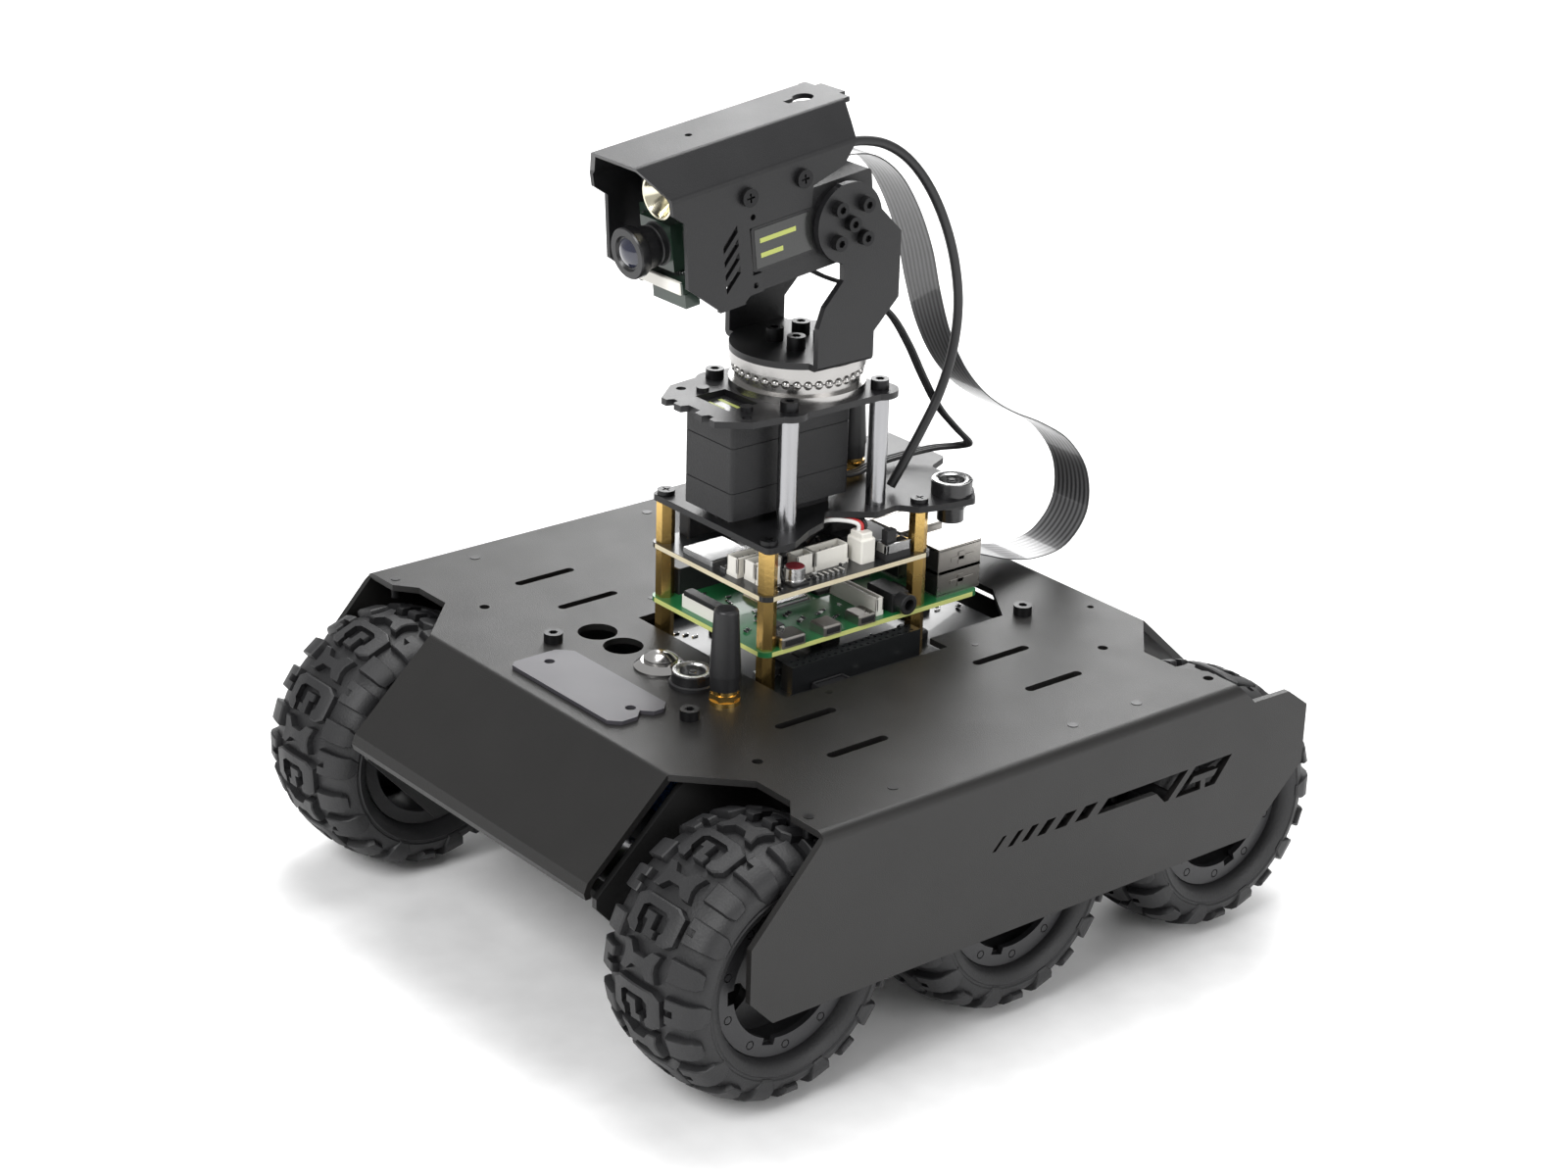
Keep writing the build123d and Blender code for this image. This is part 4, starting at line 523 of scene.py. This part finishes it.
def passives(mesh, top, area, count, seed):
    """Rows of tiny two-ended parts, spread by a fixed rule."""
    (x0, y0), (x1, y1) = area
    for k in range(count):
        u = (k * 0.618034 + seed) % 1
        v = (k * 0.754878 + seed * 0.7) % 1
        x, y = x0 + (x1 - x0) * u, y0 + (y1 - y0) * v
        flat = k % 2
        wide, long = (1.5, 0.75) if flat else (0.75, 1.5)
        look = WHITE_PIECE if k % 5 == 0 else BLACK_CHIP
        mesh.block((x - wide / 2, y - long / 2, top), (x + wide / 2, y + long / 2, top + 0.55), look, 0.1)
        for sign in (-1, 1):
            cx = x + sign * (wide / 2 if flat else 0)
            cy = y + sign * (0 if flat else long / 2)
            mesh.block((cx - 0.3, cy - 0.3, top), (cx + 0.3, cy + 0.3, top + 0.5), TIN, 0.08)


def edge_band(mesh, node, look):
    """The cut edge of a board, in its core's colour."""
    low, high = corner(node)
    t = 0.12
    for x0, x1 in ((low.x - t, low.x + 0.05), (high.x - 0.05, high.x + t)):
        mesh.block((x0, low.y + 3, low.z + 0.1), (x1, high.y - 3, high.z - 0.1), look, 0.05)
    for y0, y1 in ((low.y - t, low.y + 0.05), (high.y - 0.05, high.y + t)):
        mesh.block((low.x + 3, y0, low.z + 0.1), (high.x - 3, y1, high.z - 0.1), look, 0.05)


def driver_board():
    """Fittings of the driver board: radio can, white sockets, capacitor, plug and switch."""
    top = corner("driver_board")[1].z
    mesh = Mesh()
    mesh.block((-13.5, -32.0, top), (0.5, -17.0, top + 2.4), TIN, 0.3)
    for k in range(7):
        mesh.block((2.0, -30 + 1.9 * k, top), (4.4, -29.0 + 1.9 * k, top + 0.9), TIN, 0.1)
    socket(mesh, 8.6, -25.5, 5.0, 10.5, top, 6.2, WHITE_PLASTIC, 4)
    socket(mesh, 14.4, -23.6, 5.0, 10.5, top, 6.2, WHITE_PLASTIC, 4)
    socket(mesh, 19.3, -25.6, 3.8, 6.8, top, 5.6, WHITE_PLASTIC, 3)
    socket(mesh, 17.4, -2.0, 5.6, 13.0, top, 6.0, WHITE_PLASTIC, 5)
    socket(mesh, 17.4, -12.0, 5.0, 6.4, top, 6.0, WHITE_PLASTIC, 2)
    mesh.block((16.9, 6.2, top), (24.1, 11.8, top + 7.6), WHITE_PLASTIC, 0.5)
    mesh.block((17.6, 6.9, top + 7.5), (23.4, 11.1, top + 9.4), WHITE_PLASTIC, 0.4)
    can = Matrix.Translation((23.0, -18.6, top))
    outline = [(0, 0.4), (3.0, 0.4), (3.15, 0.8), (3.15, 1.3), (2.9, 1.6), (3.15, 1.9), (3.15, 5.0),
               (2.9, 5.3), (0, 5.3)]
    mesh.turned(outline, can, TIN)
    mesh.turned([(0, 5.25), (2.85, 5.25), (2.75, 5.45), (0, 5.45)], can, CAN_SLEEVE)
    mesh.block((19.8, -21.8, top), (26.2, -15.4, top + 0.6), BLACK_PLASTIC, 0.8)
    for k in range(6):
        mesh.block((24.2, -13 + 2.0 * k, top), (26.6, -12.2 + 2.0 * k, top + 1.6), TIN, 0.1)
    mesh.block((21.3, 13.5, top), (27.0, 23.3, top + 2.6), BLACK_PLASTIC, 0.3)
    for x0, x1, y0, y1 in ((21.3, 22.7, 13.5, 23.3), (25.65, 27.0, 13.5, 23.3)):
        mesh.block((x0, y0, top + 2.5), (x1, y1, top + 5.2), TIN, 0.2)
    for y0, y1 in ((13.5, 14.6), (22.35, 23.3)):
        mesh.block((21.3, y0, top + 2.5), (27.0, y1, top + 5.2), TIN, 0.2)
    rows = [(-2, 2, 9, 9, 1.2), (-12, 20, 8, 6, 1.4), (4, 16, 6, 6, 1.4), (6, -8, 5, 6, 1.2),
            (-14, -6, 5, 7, 1.2)]
    chips(mesh, top, rows)
    mesh.block((-27.0, -23, top), (-22.0, 23, top + 7.6), BLACK_PLASTIC, 0.3)
    mesh.block((-10, 13, top), (2, 25, top + 5.6), BLACK_PLASTIC, 0.5)
    passives(mesh, top, ((-19, -14), (13, 10)), 26, 0.13)
    passives(mesh, top, ((6, -32), (26, 26)), 22, 0.41)
    edge_band(mesh, "driver_board", CREAM_EDGE)
    piece = mesh.make("driver_board_fittings", 30)
    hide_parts("driver_parts")
    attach(piece, "chassis")


def computer_board():
    """Fittings of the single-board computer, most of them along its edges."""
    top = corner("computer_board")[1].z
    rear = corner("computer_board")[1].y + 2.0
    mesh = Mesh()
    metal = LOOKS["port_metal"]
    for x in (19.0, 1.0):
        x0, x1 = x - 6.55, x + 6.55
        for z0, z1 in ((0.0, 0.9), (7.2, 8.4), (14.8, 15.6)):
            mesh.block((x0, 36.1, top + z0), (x1, rear, top + z1), metal, 0.2)
        for a, b in ((x0, x0 + 0.6), (x1 - 0.6, x1)):
            mesh.block((a, 36.1, top + 0.5), (b, rear, top + 15.2), metal, 0.15)
        mesh.block((x0 + 0.2, 36.1, top + 0.5), (x1 - 0.2, 38.2, top + 15.2), BLACK_PLASTIC, 0.1)
        for z in (3.2, 10.8):
            mesh.block((x0 + 1.2, 38.0, top + z), (x1 - 1.2, rear - 1.2, top + z + 1.9), WHITE_PLASTIC, 0.15)
        # pressed springs in the outer walls
        for z in (3.4, 10.8):
            for side in (x0 - 0.25, x1 - 0.15):
                mesh.block((side, 41.0, top + z), (side + 0.4, 50.5, top + z + 1.2), metal, 0.15)
                mesh.block((side, 44.0, top + z - 1.4), (side + 0.4, 46.5, top + z + 2.6), metal, 0.15)
    mesh.block((-25.75, 32.1, top), (-9.75, rear - 0.2, top + 13.5), metal, 0.3)
    mesh.block((-24.6, 38, top + 2.2), (-10.9, rear + 0.0, top + 11.2), BLACK_PLASTIC, 0.3)
    for y, long, tall, inset in ((-22.3, 9.0, 3.2, 0.9), (-7.5, 6.8, 3.1, 0.8), (6.0, 6.8, 3.1, 0.8)):
        mesh.block((21.2, y - long / 2, top), (28.4, y + long / 2, top + tall), metal, 0.5)
        mesh.block((27.6, y - long / 2 + inset, top + 0.7), (28.55, y + long / 2 - inset, top + tall - 0.7),
                   BLACK_PLASTIC, 0.2)
    socket(mesh, 14.5, 13.2, 22.0, 2.8, top, 5.6, WHITE_PLASTIC, 12, "x")
    socket(mesh, -2.0, -29.6, 3.0, 3.0, top, 1.8, WHITE_PLASTIC, 1)
    mesh.block((-14.6, -31.2, top), (7.4, -28.0, top + 4.2), WHITE_PLASTIC, 0.3)
    mesh.block((-13.6, -31.4, top + 4.1), (6.4, -27.8, top + 5.6), BLACK_PLASTIC, 0.3)
    mesh.block((14.5, 17.2, top), (26.5, 23.8, top + 6.0), BLACK_PLASTIC, 0.3)
    jack = Matrix.Translation((26.4, 20.5, top + 3.2)) @ Matrix.Rotation(pi / 2, 4, "Y")
    mesh.turned([(1.8, 0), (3.2, 0), (3.2, 3.8), (2.9, 4.1), (1.8, 4.1)], jack, BLACK_PLASTIC)
    mesh.block((-27.0, -26.5, top), (-22.0, 24.5, top + 8.4), BLACK_PLASTIC, 0.3)
    mesh.block((-9.5, -12, top), (5.5, 3, top + 1.3), TIN, 0.4)
    mesh.block((-8.8, -11.3, top + 1.25), (4.8, 2.3, top + 2.2), TIN, 0.3)
    chips(mesh, top, [(-3, 12, 12, 9, 1.0), (-4, 26, 9, 9, 1.0), (12, 30, 6, 6, 0.9), (13, -18, 5, 5, 0.9)])
    passives(mesh, top, ((8, -28), (20, 9)), 24, 0.29)
    passives(mesh, top, ((-19, -24), (8, -15)), 14, 0.57)
    edge_band(mesh, "computer_board", BOARD_EDGE)
    piece = mesh.make("computer_board_fittings", 30)
    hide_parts("computer_ports")
    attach(piece, "chassis")


def control_board():
    """Small parts on the board that shows through the deck's window."""
    top = corner("control_board")[0].z + 1.6
    mesh = Mesh()
    parts = ((11, -20, 7, 7), (11, -10, 6, 4), (14, 30, 9, 6), (-24, 30, 8, 10), (-20, 48, 7, 7))
    for x0, y0, wide, long in parts:
        mesh.block((x0, y0, top), (x0 + wide, y0 + long, top + 2.6), BLACK_CHIP, 0.6)
    socket(mesh, 33.6, -12, 4.6, 12, top, 2.3, BLACK_PLASTIC, 6)
    passives(mesh, top, ((10, -30), (24, 24)), 30, 0.17)
    passives(mesh, top, ((-24, -30), (-19, 60)), 14, 0.77)
    passives(mesh, top, ((33, -5), (38, 26)), 12, 0.37)
    passives(mesh, top, ((-10, 52), (12, 60)), 12, 0.67)
    for k in range(19):
        for x in (27.23, 29.77):
            y = (k - 9) * 2.5
            mesh.block((x - 0.2, y - 0.35, 85.6), (x + 0.2, y + 0.35, 88.6), GOLD, 0.08)
    piece = mesh.make("control_board_fittings", 30)
    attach(piece, "chassis")


def power_leads():
    """White, red and black leads from the plug on the driver board."""
    mesh = Mesh()
    z = corner("driver_board")[1].z
    routes = [
        ([(20.2, 8.0, z + 9.2), (20.2, 7.6, 124.1), (18.4, 4.8, 125.2), (14.5, 1.0, 125.0),
          (9.5, -3.0, 122.6), (4.5, -6.0, 117.0), (2.0, -7.5, z + 1.0)], WHITE_PIECE),
        ([(20.3, 9.2, z + 9.2), (20.2, 8.9, 124.0), (18.0, 6.6, 125.2), (13.2, 3.8, 124.8), (8.0, 0.6, 121.0),
          (3.0, -2.2, z + 1.2)], LOOKS["lead_jacket"]),
        ([(20.4, 10.4, z + 9.2), (20.3, 10.4, 123.9), (17.6, 9.8, 125.2), (12.4, 7.0, 124.2),
          (7.6, 4.4, 119.4), (4.0, 2.2, z + 1.2)], LOOKS["cable_rubber"]),
    ]
    for route, look in routes:
        mesh.tube(smooth_path(route), 0.65, look)
    piece = mesh.make("power_lead_set", 60)
    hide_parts("power_leads")
    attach(piece, "chassis")


# ---------------------------------------------------------------- head and pan details
PIVOT = Vector((0, -0.7, 218.7))
PITCH = radians(7)
FORWARD = Vector((0, -cos(PITCH), -sin(PITCH)))
UP = Vector((0, -sin(PITCH), cos(PITCH)))
HEAD = Matrix(((1, 0, 0), (0, UP.y, FORWARD.y), (0, UP.z, FORWARD.z))).to_4x4()
HEAD.translation = PIVOT


def servo_labels():
    """Plain labels with a few generic bars on the tilt servo and in the plate's window."""
    mesh = Mesh()
    for side in (-1, 1):
        turn = Matrix.Rotation(side * pi / 2, 4, "Y")
        face = HEAD @ Matrix.Translation((side * 18.42, 0.6, 22)) @ turn
        mesh.block((-10.3, -5.8, 0), (10.3, 5.8, 0.1), LABEL, 0.04, face)
        for row, (start, length) in enumerate(((-8.5, 13), (-8.5, 8))):
            y = 2.2 - row * 4.4
            mesh.block((start, y - 0.7, 0.08), (start + length, y + 0.7, 0.14), LABEL_MARK, 0.02, face)
    piece = mesh.make("tilt_servo_labels", 30)
    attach(piece, "head")
    mesh = Mesh()
    top = corner("pan_servo")[1].z
    mesh.block((-7.4, -32.4, top), (7.4, -22.6, top + 0.15), LABEL, 0.05)
    for row in range(2):
        y = -30.2 + row * 4.2
        mesh.block((-5.6, y, top + 0.13), (1.5 + 2 * row, y + 1.3, top + 0.2), LABEL_MARK, 0.02)
    piece = mesh.make("pan_servo_label", 30)
    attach(piece, "chassis")


def lens_and_lamp():
    """Ribbed lens barrel with a domed glass, the lamp's emitter, and the camera board's parts."""
    mesh = Mesh()
    axis = HEAD @ Matrix.Translation((0, 3.9, 0))
    outline = [(0, 48.7), (6.9, 48.7), (6.9, 52.4), (6.0, 52.8), (6.0, 54.4), (5.6, 54.7), (5.6, 55.6),
               (6.2, 56.0), (6.2, 59.4), (7.3, 60.0), (7.5, 60.5), (7.5, 62.9), (7.2, 63.3), (5.2, 63.3),
               (4.6, 62.6), (0, 62.6)]
    mesh.turned(outline, axis, LOOKS["lens_black"], 48)
    ball = 6.2
    dome = [(0, 62.4)] + [(ball * sin(a * asin(4.5 / ball) / 5), 62.5 - ball * cos(asin(4.5 / ball))
                           + ball * cos(a * asin(4.5 / ball) / 5) * 0.99) for a in range(5, -1, -1)]
    mesh.turned(dome, axis, GLASS, 48)
    piece = mesh.make("lens_barrel", 30)
    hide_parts("camera_lens")
    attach(piece, "head")
    mesh = Mesh()
    lamp = HEAD @ Matrix.Translation((8.0, 20.8, 0))
    mesh.turned([(0, 50.5), (2.6, 50.5), (2.6, 51.3), (1.9, 51.9), (0, 52.3)], lamp, LED, 24)
    mesh.block((-8.6, -8.4, 53.4), (11.4, -4.6, 54.4), WHITE_PLASTIC, 0.3, HEAD)
    for k in range(15):
        x = -7.2 + 1.2 * k
        mesh.block((x, -4.8, 48.6), (x + 0.4, -3.6, 50.2), TIN, 0.08, HEAD)
    mesh.block((-10.5, 7.0, 48.5), (-8.0, 10.0, 49.6), BLACK_CHIP, 0.2, HEAD)
    mesh.block((8.4, 4.0, 48.5), (11.0, 9.0, 49.7), BLACK_CHIP, 0.2, HEAD)
    piece = mesh.make("camera_fittings", 30)
    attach(piece, "head")


def bearing_balls():
    """The ring of balls that shows in the bearing's groove."""
    mesh = Mesh()
    count = 36
    arc = [(1.45 * sin(pi * k / 6), -1.45 * cos(pi * k / 6)) for k in range(7)]
    for k in range(count):
        turn = tau * k / count
        at = Vector((18.3 * cos(turn), -0.7 + 18.3 * sin(turn), 169.9))
        mesh.turned(arc, Matrix.Translation(at), LOOKS["bearing_metal"], 12)
    piece = mesh.make("bearing_balls", 60)
    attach(piece, "chassis")


def jack_rings():
    """Bright sleeves and pins inside the two power jacks, and a collar round the deck's one."""
    mesh = Mesh()
    for x, y, seat in ((15.5, -50, 85.4), (24.4, 41.0, 128.0)):
        at = Matrix.Translation((x, y, seat))
        sleeve = [(4.25, 1.2), (5.2, 4.4), (6.0, 4.4), (6.0, 4.75), (4.7, 4.75), (3.9, 4.3), (3.9, 1.2)]
        mesh.turned(sleeve, at, TIN)
        mesh.turned([(0, 1.0), (1.1, 1.0), (1.1, 3.9), (0.6, 4.3), (0, 4.3)], at, TIN, 16)
    at = Matrix.Translation((15.5, -50, 85.4))
    mesh.turned([(6.2, 0), (7.0, 0), (7.0, 1.2), (6.6, 1.5), (6.2, 1.5)], at, BLACK_PLASTIC)
    piece = mesh.make("jack_sleeves", 30)
    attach(piece, "chassis")


make_tyres()
make_cables()
driver_board()
computer_board()
control_board()
power_leads()
servo_labels()
lens_and_lamp()
bearing_balls()
jack_rings()


# ---------------------------------------------------------------- floor and light
def floor_and_light():
    """A pale floor and soft studio lights."""
    data = bpy.data.meshes.new("floor")
    reach = 4.0
    data.from_pydata(
        [(-reach, -reach, 0), (reach, -reach, 0), (reach, reach, 0), (-reach, reach, 0)], [], [(0, 1, 2, 3)]
    )
    floor = bpy.data.objects.new("floor", data)
    bpy.context.collection.objects.link(floor)
    data.materials.append(material("floor_card", (0.92, 0.92, 0.92), 0.6, 0.0, 0.02, 200))
    world = bpy.data.worlds.new("studio")
    bpy.context.scene.world = world
    world.use_nodes = True
    back = world.node_tree.nodes["Background"]
    back.inputs["Color"].default_value = (1, 1, 1, 1)
    back.inputs["Strength"].default_value = 0.5
    for name, place, size, watts in (
        ("key", (0.4, -1.6, 1.6), 1.0, 34), ("fill", (1.8, 0.3, 0.8), 1.0, 11),
        ("top", (-0.5, 0.5, 2.0), 1.2, 34), ("back", (-1.4, 1.4, 0.9), 1.0, 16),
    ):
        light = bpy.data.lights.new(name, "AREA")
        light.energy = watts
        light.size = size
        lamp = bpy.data.objects.new(name, light)
        bpy.context.collection.objects.link(lamp)
        aim = Vector((0, 0, 0.1)) - Vector(place)
        lamp.matrix_world = Matrix.Translation(place) @ aim.to_track_quat("-Z", "Y").to_matrix().to_4x4()
    bpy.context.scene.view_settings.view_transform = "Standard"


floor_and_light()
